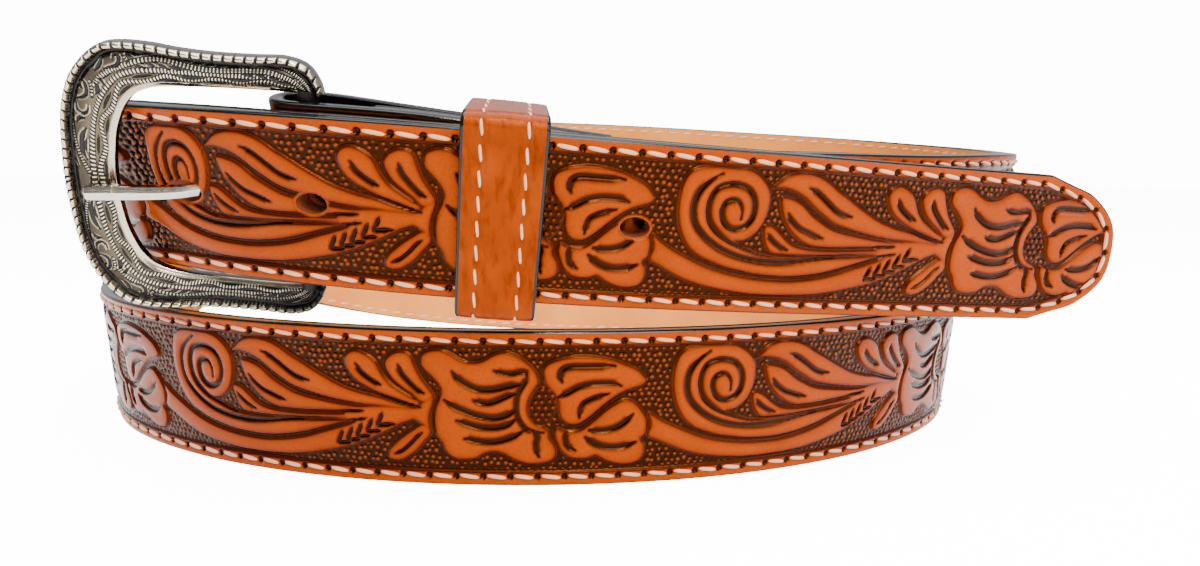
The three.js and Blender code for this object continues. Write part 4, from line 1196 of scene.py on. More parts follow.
# The keeper
# A loop of the same orange leather, smooth and glazed, with black painted edges and a
# fine row of stitches near each edge. It holds the tip down on the buckled layer.
KEEPER_MIDDLE = BELT_END - 112
KEEPER_WIDTH = 12
KEEPER_THICK = 1.8
KEEPER_LOW, KEEPER_HIGH = -0.92, STRAP_WIDTH + 0.92
KEEPER_NEAR, KEEPER_FAR = -0.4, 2 * STACK + LAYER_GAP + GLUE + LEATHER + 0.4
KEEPER_ROUND = 0.5

glazed_leather = new_material("glazed_orange_leather")
glaze_place = add(glazed_leather, "ShaderNodeTexCoord").outputs["Object"]
# Cloudy dye about 6 mm wide, faint slanting growth creases 1.2 mm apart, and pores 0.3 mm wide
glaze_clouds = add(glazed_leather, "ShaderNodeTexNoise", {
    "Vector": glaze_place, "Scale": 1 / 0.006, "Detail": 4.0})
crease_way = add(glazed_leather, "ShaderNodeMapping", {
    "Vector": glaze_place, "Rotation": (0, 0.75, 0), "Scale": (1, 1, 0.22)})
creases = add(glazed_leather, "ShaderNodeTexNoise", {
    "Vector": crease_way.outputs["Vector"], "Scale": 1 / 0.0012, "Detail": 3.0, "Roughness": 0.55})
glaze_pores = add(glazed_leather, "ShaderNodeTexNoise", {
    "Vector": glaze_place, "Scale": 1 / 0.0003, "Detail": 2.0})
glaze_tone = add(glazed_leather, "ShaderNodeMix", {
    "Factor": glaze_clouds.outputs["Fac"], 6: linear("#4E1500"), 7: linear("#8A3400")}, data_type="RGBA")
crease_shade = add(glazed_leather, "ShaderNodeMapRange", {
    "Value": creases.outputs["Fac"], "From Min": 0.3, "From Max": 0.52, "To Min": 0.6, "To Max": 0.0})
creased_tone = add(glazed_leather, "ShaderNodeMix", {
    "Factor": crease_shade.outputs["Result"], 6: glaze_tone.outputs[2], 7: linear("#461000")},
    data_type="RGBA")
relief = add(glazed_leather, "ShaderNodeMath", {
    0: creases.outputs["Fac"], 1: glaze_pores.outputs["Fac"]}, operation="ADD")
glaze_bump = add(glazed_leather, "ShaderNodeBump", {
    "Height": relief.outputs["Value"], "Strength": 0.45, "Distance": 0.0001})
glaze_gloss = add(glazed_leather, "ShaderNodeMapRange", {
    "Value": glaze_clouds.outputs["Fac"], "From Min": 0.3, "From Max": 0.7, "To Min": 0.16, "To Max": 0.26})
glaze_skin = add(glazed_leather, "ShaderNodeBsdfPrincipled", {
    "Base Color": creased_tone.outputs[2], "Roughness": glaze_gloss.outputs["Result"], "IOR": 1.5,
    "Specular IOR Level": 0.22, "Specular Tint": linear("#FF8A48"),
    "Normal": glaze_bump.outputs["Normal"]})
finish_material(glazed_leather, glaze_skin)


def loop_line(step):
    """The keeper's inner loop: depth, height, and the way out, from low on the face round."""
    corners = [
        (KEEPER_NEAR + KEEPER_ROUND, KEEPER_LOW + KEEPER_ROUND, 270, 180),
        (KEEPER_NEAR + KEEPER_ROUND, KEEPER_HIGH - KEEPER_ROUND, 180, 90),
        (KEEPER_FAR - KEEPER_ROUND, KEEPER_HIGH - KEEPER_ROUND, 90, 0),
        (KEEPER_FAR - KEEPER_ROUND, KEEPER_LOW + KEEPER_ROUND, 0, -90),
    ]
    spots, ways = [], []
    for number, (deep_value, height, first, last) in enumerate(corners):
        angle = np.radians(np.linspace(first, last, 9))
        way = np.stack([np.cos(angle), np.sin(angle)], 1)
        arc = np.array([deep_value, height]) + KEEPER_ROUND * way
        if spots:
            count = max(int(np.linalg.norm(arc[0] - spots[-1][-1]) / step), 2)
            share = np.linspace(0, 1, count + 1)[1:-1, None]
            spots.append(spots[-1][-1] * (1 - share) + arc[0] * share)
            ways.append(np.repeat(way[:1], count - 1, 0))
        spots.append(arc)
        ways.append(way)
    spots, ways = np.vstack(spots), np.vstack(ways)
    count = int(np.linalg.norm(spots[0] - spots[-1]) / step)
    share = np.linspace(0, 1, count + 1)[1:, None]
    spots = np.vstack([spots, spots[-1] * (1 - share) + spots[0] * share])
    return spots, np.vstack([ways, np.repeat(ways[:1], count, 0)])


def on_keeper(along, spots, ways, rise):
    """Points in metres at places along the keeper's width and round its loop."""
    points, ahead, up, outward, lean = course.stations(KEEPER_MIDDLE + np.ravel(along))
    deep_value = np.ravel(spots[..., 0] + ways[..., 0] * rise)[:, None]
    height = np.ravel(spots[..., 1] + ways[..., 1] * rise)[:, None]
    return (points - outward * deep_value + up * height) * MM


def keeper_sheet(name, profile, material, step, flip):
    """A sheet round the loop from a profile of places along and rises off the inner loop."""
    spots, ways = loop_line(step)
    profile = np.array(profile)
    along = np.repeat(profile[None, :, 0], len(spots), 0)
    rise = np.repeat(profile[None, :, 1], len(spots), 0)
    points = on_keeper(along, spots[:, None], ways[:, None], rise)
    piece = mesh_object(name, points, sheet_faces(len(spots), len(profile), flip=flip), material)
    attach(piece, "root")
    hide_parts("keeper")


# The face is faintly crowned, with a pressed line under each stitch row
FACE_EDGE = 5.45
STITCH_LINE = 3.1
LOOP_STEP = 0.35
# Places along and rises of the painted edge's rounded profile, from the face to the inside
EDGE_TURN = [
    (FACE_EDGE, 1.8), (5.7, 1.76), (5.88, 1.6), (5.97, 1.35), (KEEPER_WIDTH / 2, 0.9), (5.97, 0.45),
    (5.88, 0.2), (5.7, 0.04),
]
INSIDE_PROFILE = [(-5.7, 0.04), (-2.0, 0.0), (2.0, 0.0), (5.7, 0.04)]
face_run = np.linspace(-FACE_EDGE, FACE_EDGE, 56)
crown = KEEPER_THICK + 0.12 * (1 - (face_run / FACE_EDGE) ** 2)
crown -= 0.16 * np.exp(-((np.abs(face_run) - STITCH_LINE) / 0.28) ** 2)
keeper_sheet("keeper_face", np.stack([face_run, crown], 1), glazed_leather, LOOP_STEP, True)
for name, side in (("keeper_edge_right", 1), ("keeper_edge_left", -1)):
    keeper_sheet(name, [(side * x, rise) for x, rise in EDGE_TURN], edge_paint, LOOP_STEP, side > 0)
keeper_sheet("keeper_inside", INSIDE_PROFILE, natural_leather, 2 * LOOP_STEP, False)

# The keeper's stitches are finer and closer together than the strap's
KEEPER_PITCH = 3.7
KEEPER_STITCH = (3.1, 0.3, 0.24, 0.12)
keeper_spots, keeper_ways = loop_line(0.1)
round_loop = run_along(keeper_spots + keeper_ways * KEEPER_THICK)
loop_at = np.arange(1.2, round_loop[-1] - 1, KEEPER_PITCH)
row_spots = np.vstack([
    np.stack([loop_at, np.full(len(loop_at), side * STITCH_LINE)], 1) for side in (-1, 1)])


def lay_on_keeper(around, along, rise):
    """Points for stitches at places round the loop and along its width."""
    spots = np.stack([np.interp(around, round_loop, keeper_spots[:, k]) for k in (0, 1)], 1)
    ways = np.stack([np.interp(around, round_loop, keeper_ways[:, k]) for k in (0, 1)], 1)
    return on_keeper(along, spots, ways, KEEPER_THICK - 0.12 + rise)


stitch_row("keeper_stitches", row_spots, np.tile([[1.0, 0.0]], (len(row_spots), 1)), lay_on_keeper,
           KEEPER_STITCH, "keeper")

# The cast buckle
# Zinc alloy, cast, silver plated and engraved by hand with scrolls and wriggled bands
# inside a rope rim. Black antiquing stays in the cuts and the high parts are rubbed
# bright, with painted highlight on them, and painted shade darkens the arms' ends and the
# lower arm under the strap. The strap's fold turns on its heel bar.
HALF_OPENING = STRAP_WIDTH / 2 + 2.9
HALF_HEIGHT = HALF_OPENING + 5.1
BUCKLE_REACH = 37.4
BUCKLE_SWING, BUCKLE_ROLL, BUCKLE_TILT, BUCKLE_DROP = 0.26, 0.066, 0.045, 2.2
BACK_DEPTH = 1.2
# Outer reach and rise, inner reach and rise, from the upper arm's end to the left bar
BUCKLE_ROWS = [
    (-0.063, 0.760, -0.034, 0.985), (-0.048, 0.852, -0.004, 0.992), (-0.005, 0.955, 0.045, 1.000),
    (0.071, 1.000, 0.105, 1.000), (0.208, 0.989, 0.211, 0.993), (0.345, 0.980, 0.329, 0.981),
    (0.482, 0.986, 0.447, 0.964), (0.576, 1.002, 0.540, 0.945), (0.684, 1.000, 0.605, 0.905),
    (0.753, 0.972, 0.653, 0.838), (0.811, 0.887, 0.689, 0.734), (0.863, 0.765, 0.713, 0.610),
    (0.892, 0.648, 0.732, 0.468), (0.916, 0.484, 0.742, 0.325), (0.929, 0.282, 0.750, 0.182),
    (0.937, 0.000, 0.753, 0.000),
]
ROPE_WIDTH = 1.05
ROPE_PITCH = 1.5
GROOVE_END = 1.75
# Hatch lines on the real bands are 0.34 mm apart, drawn wider so that they show
HATCH_PITCH = 0.46
WAVE_LENGTH = 6.3

# Hatched bands: width and line, in millimetres of reach and rise on the upper half
HATCHED = [
    (0.80, [(29.3, 14.6), (28.3, 15.9), (27.0, 16.8), (25.6, 17.5), (24.0, 18.2), (22.0, 18.85),
            (20.0, 19.1), (18.0, 18.75), (16.0, 18.35), (14.0, 18.2), (12.0, 18.25), (10.0, 18.45),
            (8.0, 18.65), (6.0, 18.75), (4.0, 18.4), (2.5, 17.9), (1.2, 17.1), (0.4, 16.3)]),
    (0.65, [(20.5, 19.75), (18.0, 19.6), (15.0, 19.55), (12.0, 19.4), (9.0, 19.45), (6.0, 19.8),
            (4.0, 19.7), (2.3, 19.1), (0.8, 18.1), (-0.2, 17.0), (-0.6, 16.2)]),
    (0.60, [(32.4, 13.8), (32.9, 11.6), (33.1, 9.0), (33.1, 6.8), (32.8, 4.8), (32.2, 2.8), (31.4, 1.0)]),
    (0.55, [(24.9, 19.9), (24.9, 19.0), (24.5, 18.5)]),
    (0.50, [(29.9, 14.9), (29.7, 14.0), (29.8, 13.0)]),
]
# Deep cuts: width at the widest and stroke. Thin ones are the fan's long lines.
LEAF_CUTS = [
    (0.60, [(32.3, 16.3), (31.3, 17.1), (30.4, 18.0), (29.7, 18.9)]),
    (0.65, [(30.0, 16.8), (29.3, 17.5), (28.7, 18.4), (28.3, 19.3)]),
    (0.50, [(28.9, 16.7), (28.3, 17.5), (27.9, 18.6)]),
    (0.45, [(27.7, 17.0), (26.9, 17.3), (26.0, 17.6), (25.6, 18.3), (25.7, 19.0), (26.3, 19.1),
            (26.4, 18.5)]),
    (0.40, [(24.0, 19.7), (23.3, 19.4), (22.5, 19.5)]),
    (0.40, [(31.9, 15.0), (31.5, 14.4), (30.9, 13.9)]),
    (0.45, [(31.2, 15.1), (30.6, 14.7), (30.4, 13.9), (30.5, 13.1), (31.1, 12.6), (31.9, 12.4)]),
    (0.65, [(29.2, 14.9), (28.9, 14.3), (28.9, 13.7), (29.2, 13.1)]),
    (0.45, [(28.8, 15.5), (28.2, 15.2), (28.0, 14.6)]),
    (0.35, [(32.1, 11.7), (32.0, 10.7), (31.3, 10.2), (30.6, 10.6), (30.4, 11.6)]),
    (0.45, [(32.3, 8.9), (31.9, 9.5), (31.1, 9.5)]),
    (0.65, [(31.1, 8.0), (31.7, 7.0), (32.0, 5.8), (32.0, 4.5), (31.6, 3.2)]),
    (0.40, [(31.2, 6.4), (31.5, 5.4), (31.5, 4.3)]),
    (0.24, [(34.3, 5.4), (33.9, 3.8), (33.4, 2.2)]),
    (0.24, [(33.9, 5.2), (33.4, 3.6), (32.9, 2.0)]),
    (0.24, [(34.6, 4.0), (34.2, 2.4), (33.7, 0.8)]),
    (0.24, [(34.8, 2.6), (34.6, 1.2), (34.2, 0.0)]),
    (0.40, [(23.6, 17.75), (22.8, 17.75), (22.1, 17.6)]),
    (0.50, [(22.0, 18.25), (21.3, 18.15), (20.6, 17.8)]),
    (0.50, [(20.4, 18.4), (19.7, 18.1), (19.0, 17.75)]),
    (0.50, [(18.8, 18.2), (18.0, 17.95), (17.0, 17.85)]),
    (0.42, [(15.9, 18.85), (15.2, 19.0), (14.6, 18.95)]),
    (0.42, [(14.3, 18.75), (13.6, 18.95), (12.9, 18.9)]),
    (0.42, [(12.7, 18.75), (12.0, 18.95), (11.3, 18.95)]),
    (0.42, [(11.0, 18.85), (10.3, 19.05), (9.6, 19.05)]),
    (0.50, [(9.0, 18.1), (8.2, 18.05), (7.4, 17.8)]),
    (0.50, [(7.0, 18.15), (6.2, 18.0), (5.4, 17.65)]),
    (0.50, [(5.2, 18.0), (4.4, 17.75), (3.6, 17.35)]),
]

heel = [part[0] for part in course.stations(np.zeros(1))[:4]]
across_heel = np.cross(heel[2], heel[1])
buckle_right = heel[1] * math.cos(BUCKLE_SWING) + across_heel * math.sin(BUCKLE_SWING)
buckle_basis = Matrix(np.stack([buckle_right, np.cross(heel[2], buckle_right), heel[2]], 1).tolist())
BUCKLE_WAYS = np.array(
    buckle_basis @ Matrix.Rotation(BUCKLE_ROLL, 3, "Y") @ Matrix.Rotation(BUCKLE_TILT, 3, "X"))
BUCKLE_PLACE = heel[0] - heel[3] * FOLD_RADIUS + heel[2] * (STRAP_WIDTH / 2 - BUCKLE_DROP)


def in_buckle(reach, front, rise):
    """Points in metres from millimetres of reach to the left, towards the viewer and up."""
    local = np.stack([-np.ravel(reach), -np.ravel(front), np.ravel(rise)], 1)
    return (BUCKLE_PLACE + local @ BUCKLE_WAYS.T) * MM


def buckle_lines(count):
    """The outer and inner edges at even steps of their joint length, as reach and rise."""
    rows = np.array(BUCKLE_ROWS)
    outer = rows[:, :2] * [BUCKLE_REACH, HALF_HEIGHT]
    inner = rows[:, 2:] * [BUCKLE_REACH, HALF_OPENING]
    edges = []
    for line in (outer, inner):
        line = np.vstack([line, line[-2::-1] * [1, -1]])
        edges.append(along_spline(spline(line), np.linspace(0, 1, 4001))[0])
    reached = run_along(edges[0]) + run_along(edges[1])
    at = np.interp(np.linspace(0, reached[-1], count), reached, np.arange(4001))
    return [np.stack([np.interp(at, np.arange(4001), line[:, k]) for k in (0, 1)], 1) for line in edges]


def near_strokes(strokes, reach, rise, margin):
    """Each stroke's width, the spots close to it, their distance and share along, and its length."""
    for width, stroke in strokes:
        line = curve_through(stroke, 0.35)
        low, high = line.min(0) - margin, line.max(0) + margin
        close = (reach > low[0]) & (reach < high[0]) & (rise > low[1]) & (rise < high[1])
        spots = np.stack([reach[close], rise[close]], 1)
        distance, side, share = nearest_on(line, spots)
        yield width, close, distance, share, run_along(line)[-1]


# The wriggled band swings about one share of the cast width, the straight band keeps to
# another, and lens cuts lie in the wriggles' outer and inner bends
WRIGGLE_SHARE, WRIGGLE_SWING, STRAIGHT_SHARE = 0.21, 0.055, 0.40
OUTER_LENS_SHARE, INNER_LENS_SHARE = 0.285, 0.155
WAVE_START = 6.0
BORDER_CUT = 0.13
BEVEL_SHARE = 0.14
# Front of the face at the rope's foot, the rope's own rise, and how deep each tool goes
FACE_FRONT = 0.95
ROPE_RISE = 1.05
GROOVE_SINK, CUT_SINK, HATCH_SINK = 0.45, 0.30, 0.12


def inner_bands(from_inner, inner_run, span, ridge):
    """Cuts, hatching and ridges with the bands and lens cuts that follow the inner edge."""
    cuts = np.zeros(len(span))
    hatch = np.zeros(len(span))
    waves = (inner_run - WAVE_START) / WAVE_LENGTH
    wriggle = from_inner - span * (WRIGGLE_SHARE + WRIGGLE_SWING * np.sin(2 * math.pi * waves))
    straight = from_inner - span * STRAIGHT_SHARE
    for gap, half in ((wriggle, 0.38), (straight, 0.4)):
        band = soft_step((half - np.abs(gap)) / 0.12 + 0.5)
        lines = band * (0.5 - 0.5 * np.cos(2 * math.pi * inner_run / HATCH_PITCH))
        hatch = np.maximum(hatch, lines)
        ridge = np.maximum(ridge, band - lines)
        cuts = np.maximum(cuts, 0.8 * soft_step(1 - np.abs(np.abs(gap) - half) / BORDER_CUT))
    off_bend = np.abs(np.mod(waves - 0.25, 1) - 0.5)
    outer_lens = from_inner - span * OUTER_LENS_SHARE
    inner_lens = from_inner - span * INNER_LENS_SHARE
    for at, gap, half in ((off_bend * WAVE_LENGTH, outer_lens, 0.27),
                          ((0.5 - off_bend) * WAVE_LENGTH, inner_lens, 0.24)):
        lens = soft_step((1 - (at / 1.6) ** 2 - np.abs(gap) / half) / 0.5)
        cuts = np.maximum(cuts, lens)
    return cuts, hatch, ridge


def hand_work(reach, rise, cuts, hatch, ridge):
    """Adds the listed bands and leaves to the cuts, hatching and ridges."""
    for width, close, distance, share, length in near_strokes(HATCHED, reach, rise, 1.0):
        band = soft_step((width / 2 - distance) / 0.12 + 0.5)
        lines = band * (0.5 - 0.5 * np.cos(2 * math.pi * share * length / HATCH_PITCH))
        hatch[close] = np.where(band > 0.5, lines, np.maximum(hatch[close], lines))
        ridge[close] = np.where(band > 0.5, band - lines, ridge[close])
        border = 0.8 * soft_step(1 - np.abs(distance - width / 2) / BORDER_CUT)
        cuts[close] = np.maximum(cuts[close] * (band < 0.5), border)
    for width, close, distance, share, length in near_strokes(LEAF_CUTS, reach, rise, 0.8):
        taper = soft_step(share / 0.3) * soft_step((1 - share) / 0.35)
        half = width / 2 * (0.3 + 0.7 * taper)
        knife = soft_step((half - distance) / (0.8 * half) + 0.4)
        cuts[close] = np.maximum(cuts[close], knife)
        # A painted highlight runs along each leaf cut's lip
        lip = soft_step(1 - np.abs(distance - half - 0.14) / 0.16) * (share < 0.98) * (share > 0.02)
        ridge[close] = np.maximum(ridge[close], 0.6 * lip)


def engrave(reach, rise, from_outer, from_inner, outer_run, inner_run):
    """Height of the buckle's face in millimetres, its black, its groove and its rubbed ridges, which are
    partly painted highlight.
    """
    span = from_outer + from_inner
    rise = np.abs(rise)
    cell = np.abs(np.mod(outer_run / ROPE_PITCH, 1) - 0.5) * 2
    notch = soft_step((cell - 0.66) / 0.34)
    round_rope = np.sqrt(np.clip(1 - ((from_outer - ROPE_WIDTH / 2) / (ROPE_WIDTH / 2 + 0.05)) ** 2, 0, 1))
    rope = FACE_FRONT + ROPE_RISE * round_rope * (1 - 0.5 * notch) - 0.06 * cell ** 2
    bevel_width = BEVEL_SHARE * span
    face_share = np.clip((from_outer - GROOVE_END) / np.maximum(span - GROOVE_END - bevel_width, 0.4), 0, 1)
    face = FACE_FRONT + 0.35 * np.sin(math.pi * face_share) ** 0.7
    face -= 0.5 * soft_step((bevel_width - from_inner) / bevel_width)
    groove = soft_step((from_outer - ROPE_WIDTH) / 0.15) * soft_step((GROOVE_END + 0.1 - from_outer) / 0.45)
    in_rope = from_outer < ROPE_WIDTH
    height = np.where(in_rope, rope, face - GROOVE_SINK * groove)
    black = np.where(in_rope, 0.95 * notch + 0.25 * (1 - round_rope), 0.95 * groove)
    ridge = np.where(in_rope, 0.75 * round_rope * (1 - notch), 0)
    cuts, hatch, ridge = inner_bands(from_inner, inner_run, span, ridge)
    hand_work(reach, rise, cuts, hatch, ridge)
    off_rope = from_outer > GROOVE_END - 0.3
    plain = soft_step((from_inner - 0.09 * span) / 0.2) * off_rope
    cuts *= plain
    hatch *= plain
    height -= CUT_SINK * cuts + HATCH_SINK * hatch
    black = np.maximum(black, np.maximum(cuts, 0.9 * hatch))
    # The inner bevel is rubbed bright and painted with highlight
    ridge = np.maximum(ridge, 0.65 * off_rope * (1 - plain))
    return height, np.clip(black, 0, 1), np.where(in_rope, 0, groove), np.clip(ridge - 0.6 * cuts, 0, 1)


plated = new_material("antiqued_silver_plate")
# Red is black antiquing with painted shade, green is dullness with painted shade, blue is rubbed brightness
# with painted highlight
tarnish_and_painted_light = add(plated, "ShaderNodeAttribute", attribute_name="tarnish_and_painted_light")
tarnish_parts = add(plated, "ShaderNodeSeparateColor", {"Color": tarnish_and_painted_light.outputs["Color"]})
plate_place = add(plated, "ShaderNodeTexCoord").outputs["Object"]
# Rubbed patches about 3 mm wide, and fine polishing scratches drawn 0.2 mm wide
rubbing = add(plated, "ShaderNodeTexNoise", {"Vector": plate_place, "Scale": 1 / 0.003, "Detail": 3.0})
scratches = add(plated, "ShaderNodeTexNoise", {"Vector": plate_place, "Scale": 1 / 0.0002, "Detail": 2.0})
bright = add(plated, "ShaderNodeMix", {
    "Factor": rubbing.outputs["Fac"], 6: linear("#3A342B"), 7: linear("#665C4B")}, data_type="RGBA")
# The high parts' pale colour is real rubbing and partly painted highlight
rubbed_and_highlit = add(plated, "ShaderNodeMix", {
    "Factor": tarnish_parts.outputs["Blue"], 6: bright.outputs[2], 7: linear("#DDCFB4")}, data_type="RGBA")
greyed = add(plated, "ShaderNodeMapRange", {
    "Value": tarnish_parts.outputs["Green"], "From Min": 0.0, "From Max": 1.0, "To Min": 0.0, "To Max": 0.9})
# The dull share is partly painted shade
dulled_and_shaded = add(plated, "ShaderNodeMix", {
    "Factor": greyed.outputs["Result"], 6: rubbed_and_highlit.outputs[2], 7: linear("#2C2823")}, data_type="RGBA")
blackened = add(plated, "ShaderNodeMapRange", {
    "Value": tarnish_parts.outputs["Red"], "From Min": 0.12, "From Max": 0.6})
plate_tone = add(plated, "ShaderNodeMix", {
    "Factor": blackened.outputs["Result"], 6: dulled_and_shaded.outputs[2], 7: linear("#0B0908")}, data_type="RGBA")
metal_share = add(plated, "ShaderNodeMapRange", {
    "Value": tarnish_parts.outputs["Red"], "From Min": 0.2, "From Max": 0.9, "To Min": 1.0, "To Max": 0.35})
plate_gloss = add(plated, "ShaderNodeMapRange", {
    "Value": tarnish_parts.outputs["Red"], "From Min": 0.1, "From Max": 0.8, "To Min": 0.2, "To Max": 0.5})
plate_bump = add(plated, "ShaderNodeBump", {
    "Height": scratches.outputs["Fac"], "Strength": 0.25, "Distance": 0.00004})
plate_skin = add(plated, "ShaderNodeBsdfPrincipled", {
    "Base Color": plate_tone.outputs[2], "Metallic": metal_share.outputs["Result"],
    "Roughness": plate_gloss.outputs["Result"], "Normal": plate_bump.outputs["Normal"]})
finish_material(plated, plate_skin)

BUCKLE_COLUMNS = 60
BUCKLE_STATIONS = 1040
# Share from the outer to the inner edge, and front, of the plain sides and back
CAST_BACK = [
    (1.0, 0.1), (1.0, -0.9), (0.97, -BACK_DEPTH), (0.7, -BACK_DEPTH), (0.3, -BACK_DEPTH),
    (0.03, -BACK_DEPTH), (0.0, -0.9), (0.0, 0.4),
]


def shade_casting(reach, rise, from_outer, black, groove, ridge):
    """Black and dull shares: darker beside the rope, and painted shade at the arms' ends and under the
    strap.
    """
    lower_half = rise < 0
    # Painted shade dulls the lower arm towards its end
    dull_and_shade = 0.55 * groove + 0.75 * (soft_step((9 - reach) / 8) * lower_half)
    beside_rope = soft_step((from_outer - 1.4) / 0.4) * soft_step((4.6 - from_outer) / 2.2)
    dull_and_shade = np.maximum(dull_and_shade, 0.8 * beside_rope) * (1 - 0.6 * ridge)
    # Painted shade blackens both arms' ends, the lower one more
    end_black = soft_step((2.2 - reach) / 3.5)
    black = np.maximum(black, (0.25 + 0.35 * lower_half) * end_black)
    # Painted shade darkens the lower arm where it lies under the strap
    under_strap = soft_step((24 - reach) / 12) * lower_half
    return np.maximum(black, 0.55 * under_strap * (1 - 0.5 * ridge)), np.clip(dull_and_shade, 0, 1)


def cast_ring():
    """The frame's points, faces and tarnish with painted shade and highlight, as a tube that is open at the
    arms' two ends.
    """
    outer, inner = buckle_lines(BUCKLE_STATIONS)
    span = np.linalg.norm(outer - inner, axis=1)
    share = np.linspace(0, 1, BUCKLE_COLUMNS)
    line = outer[:, None] * (1 - share[None, :, None]) + inner[:, None] * share[None, :, None]
    from_outer = span[:, None] * share[None]
    runs = [run_along(edge) for edge in (outer, inner)]
    runs = [np.minimum(run, run[-1] - run) for run in runs]
    outer_run, inner_run = [np.repeat(run[:, None], BUCKLE_COLUMNS, 1) for run in runs]
    height, black, groove, ridge = engrave(
        line[..., 0].ravel(), line[..., 1].ravel(), from_outer.ravel(),
        (span[:, None] - from_outer).ravel(), outer_run.ravel(), inner_run.ravel())
    height = height.reshape(from_outer.shape)
    # The arms' ends round off
    end_share = np.clip(1 - outer_run / 1.2, 0, 1)
    height = height - 0.9 * (1 - np.sqrt(np.clip(1 - end_share ** 2, 0, 1)))
    black, dull_and_shade = shade_casting(
        line[..., 0].ravel(), line[..., 1].ravel(), from_outer.ravel(), black, groove, ridge)
    back_line = np.stack([outer * (1 - part) + inner * part for part, front in CAST_BACK], 1)
    back_front = np.repeat(np.array([[front for part, front in CAST_BACK]]), len(outer), 0)
    reach = np.concatenate([line[..., 0], back_line[..., 0]], 1)
    rise = np.concatenate([line[..., 1], back_line[..., 1]], 1)
    front = np.concatenate([height, back_front], 1)
    columns = reach.shape[1]
    points = in_buckle(reach, front, rise)
    marks = np.zeros((len(outer), columns, 4))
    marks[:, :BUCKLE_COLUMNS, 0] = black.reshape(height.shape)
    marks[:, :BUCKLE_COLUMNS, 1] = dull_and_shade.reshape(height.shape)
    marks[:, :BUCKLE_COLUMNS, 2] = ridge.reshape(height.shape)
    marks[:, BUCKLE_COLUMNS:, 0] = 0.1
    marks[:, BUCKLE_COLUMNS:, 1] = 0.5
    grid = np.arange(len(points)).reshape(-1, columns)
    wrapped = np.concatenate([grid, grid[:, :1]], 1)
    corners = [wrapped[:-1, :-1], wrapped[1:, :-1], wrapped[1:, 1:], wrapped[:-1, 1:]]
    return points, np.stack(corners, -1).reshape(-1, 4), marks.reshape(-1, 4), grid


# How far each closing ring has shrunk
END_RINGS = (0.4, 0.75, 0.97)


def close_ends(points, faces, marks, grid):
    """Closes both arm ends with rows that shrink to a point a little way out."""
    for row, inward in ((0, 1), (-1, -2)):
        loop = points[grid[row]]
        out = unit(loop.mean(0) - points[grid[inward]].mean(0)) * 0.35 * MM
        start = len(points)
        rings = [
            loop + (loop.mean(0) - loop) * part + out * math.sin(part * math.pi / 2) for part in END_RINGS]
        points = np.vstack([points] + rings)
        marks = np.vstack([marks] + [marks[grid[row]] * 0.6] * len(rings))
        index = np.vstack([grid[row], np.arange(start, len(points)).reshape(len(rings), -1)])
        index = np.concatenate([index, index[:, :1]], 1)
        caps = np.stack([index[:-1, :-1], index[:-1, 1:], index[1:, 1:], index[1:, :-1]], -1).reshape(-1, 4)
        faces = np.vstack([faces, caps if row == 0 else caps[:, ::-1]])
    return points, faces, marks


ring_points, ring_faces, ring_marks = close_ends(*cast_ring())
cast_buckle = mesh_object("cast_buckle", ring_points, ring_faces, plated)
paint(cast_buckle, "tarnish_and_painted_light", ring_marks)
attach(cast_buckle, "root")
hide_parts("buckle_frame")

# The heel bar runs from arm to arm inside the fold, dark and dull all over
bar_rows = np.linspace(-HALF_OPENING - 0.6, HALF_OPENING + 0.6, 60)
bar_turn = np.linspace(0, 2 * math.pi, 33)
bar_rise, bar_angle = np.meshgrid(bar_rows, bar_turn, indexing="ij")
bar_points = in_buckle(BAR_RADIUS * np.cos(bar_angle), BAR_RADIUS * np.sin(bar_angle), bar_rise)
heel_bar = mesh_object("heel_bar", bar_points, sheet_faces(*bar_rise.shape), plated)
paint(heel_bar, "tarnish_and_painted_light", np.tile([0.55, 0.9, 0.0, 0.0], (bar_rise.size, 1)))
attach(heel_bar, "root")
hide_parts("buckle_frame")

# The prong
# Bright plated brass, filed to a low ridge along its front, stepped where it is thickest
# near its tip, and rolled round the heel bar at the other end.
# Each row: reach, front, half width and half depth, in millimetres
PRONG_ROWS = [
    (1.2, -0.1, 0.95, 0.75), (2.6, 0.0, 0.95, 0.85), (9.6, 0.42, 0.98, 0.95), (15.0, 1.86, 0.98, 0.95),
    (17.8, 3.12, 0.95, 0.95), (19.4, 3.42, 0.98, 0.95), (20.9, 3.51, 1.02, 0.97), (25.6, 3.32, 1.08, 1.0),
    (27.6, 3.1, 1.10, 1.0), (27.8, 3.06, 1.16, 1.1), (30.2, 3.0, 1.13, 1.08), (31.1, 3.0, 1.08, 1.05),
    (31.6, 2.95, 0.98, 0.95), (31.9, 2.85, 0.78, 0.72),
]
# Share of the half width and of the half depth
PRONG_SECTION = [
    (-1.0, 0.30), (-0.94, 0.54), (-0.52, 0.70), (-0.08, 0.86), (0.04, 0.88), (0.16, 0.86), (0.56, 0.70),
    (0.94, 0.54), (1.0, 0.30), (0.97, -0.55), (0.75, -0.85), (-0.75, -0.85), (-0.97, -0.55),
]
PRONG_RISE = 0.105
PRONG_START = BUCKLE_DROP - 0.3
END_FLAT = 0.04

bright_plate = new_material("bright_silver_plate")
bright_place = add(bright_plate, "ShaderNodeTexCoord").outputs["Object"]
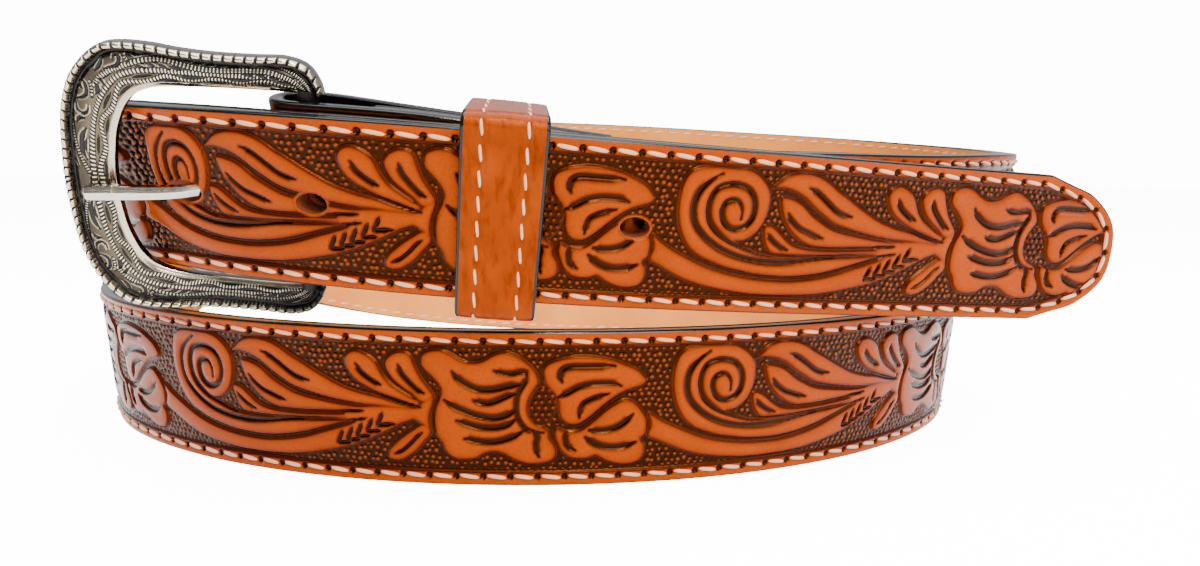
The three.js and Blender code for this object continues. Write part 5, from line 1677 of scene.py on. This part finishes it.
# Drawn-out polishing lines, drawn 0.15 mm wide, that run along the prong
along_prong = add(bright_plate, "ShaderNodeMapping", {"Vector": bright_place, "Scale": (0.06, 1, 1)})
polish = add(bright_plate, "ShaderNodeTexNoise", {
    "Vector": along_prong.outputs["Vector"], "Scale": 1 / 0.00015, "Detail": 2.0})
bright_tone = add(bright_plate, "ShaderNodeMix", {
    "Factor": polish.outputs["Fac"], 6: linear("#A89F90"), 7: linear("#E0D8C8")}, data_type="RGBA")
polish_bump = add(bright_plate, "ShaderNodeBump", {
    "Height": polish.outputs["Fac"], "Strength": 0.2, "Distance": 0.00004})
bright_skin = add(bright_plate, "ShaderNodeBsdfPrincipled", {
    "Base Color": bright_tone.outputs[2], "Metallic": 1.0, "Roughness": 0.14,
    "Normal": polish_bump.outputs["Normal"]})
finish_material(bright_plate, bright_skin)


def prong_shank():
    """The shank's points and faces, swept along its rows with the filed section."""
    rows = np.array(PRONG_ROWS)
    section = np.array(PRONG_SECTION)
    fine = np.unique(np.concatenate([rows[:, 0], np.arange(2.6, 27.6, 0.8)]))
    front, half, depth = [np.interp(fine, rows[:, 0], rows[:, k]) for k in (1, 2, 3)]
    smooth_front = along_spline(spline(rows[:, :2]), np.linspace(0, 1, 600))[0]
    front = np.interp(fine, smooth_front[:, 0], smooth_front[:, 1])
    middle = PRONG_START - PRONG_RISE * fine
    reach = np.repeat(fine[:, None], len(section) + 1, 1)
    closed = np.vstack([section, section[:1]])
    rise = middle[:, None] + half[:, None] * closed[None, :, 0]
    height = front[:, None] + depth[:, None] * closed[None, :, 1]
    # The two ends close to a small flat
    reach = np.vstack([reach[:1], reach, reach[-1:] + 0.12])
    ended = []
    for axis, side in ((middle, rise), (front, height)):
        first = axis[0] + END_FLAT * (side[:1] - axis[0])
        last = axis[-1] + END_FLAT * (side[-1:] - axis[-1])
        ended.append(np.vstack([first, side, last]))
    rise, height = ended
    return in_buckle(reach, height, rise), sheet_faces(*reach.shape, flip=True)


shank = mesh_object("prong_shank", *prong_shank(), bright_plate, smooth=False)
# Radius from the heel bar's middle and rise, round the eye's section
EYE_SECTION = [
    (1.9, -1.0), (2.2, -1.06), (3.1, -1.0), (3.4, -0.7), (3.45, 0.0), (3.4, 0.7), (3.1, 1.0),
    (2.2, 1.06), (1.9, 1.0), (1.9, -1.0),
]
eye_angle = np.linspace(0, 2 * math.pi, 49)[:, None]
eye_radius, eye_rise = np.array(EYE_SECTION).T
eye_points = in_buckle(np.cos(eye_angle) * eye_radius, np.sin(eye_angle) * eye_radius,
                       PRONG_START + np.tile(eye_rise, (len(eye_angle), 1)))
eye = mesh_object("prong_eye", eye_points, sheet_faces(len(eye_angle), len(EYE_SECTION)), bright_plate)
for piece in (shank, eye):
    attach(piece, "root")
    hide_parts("buckle_prong")
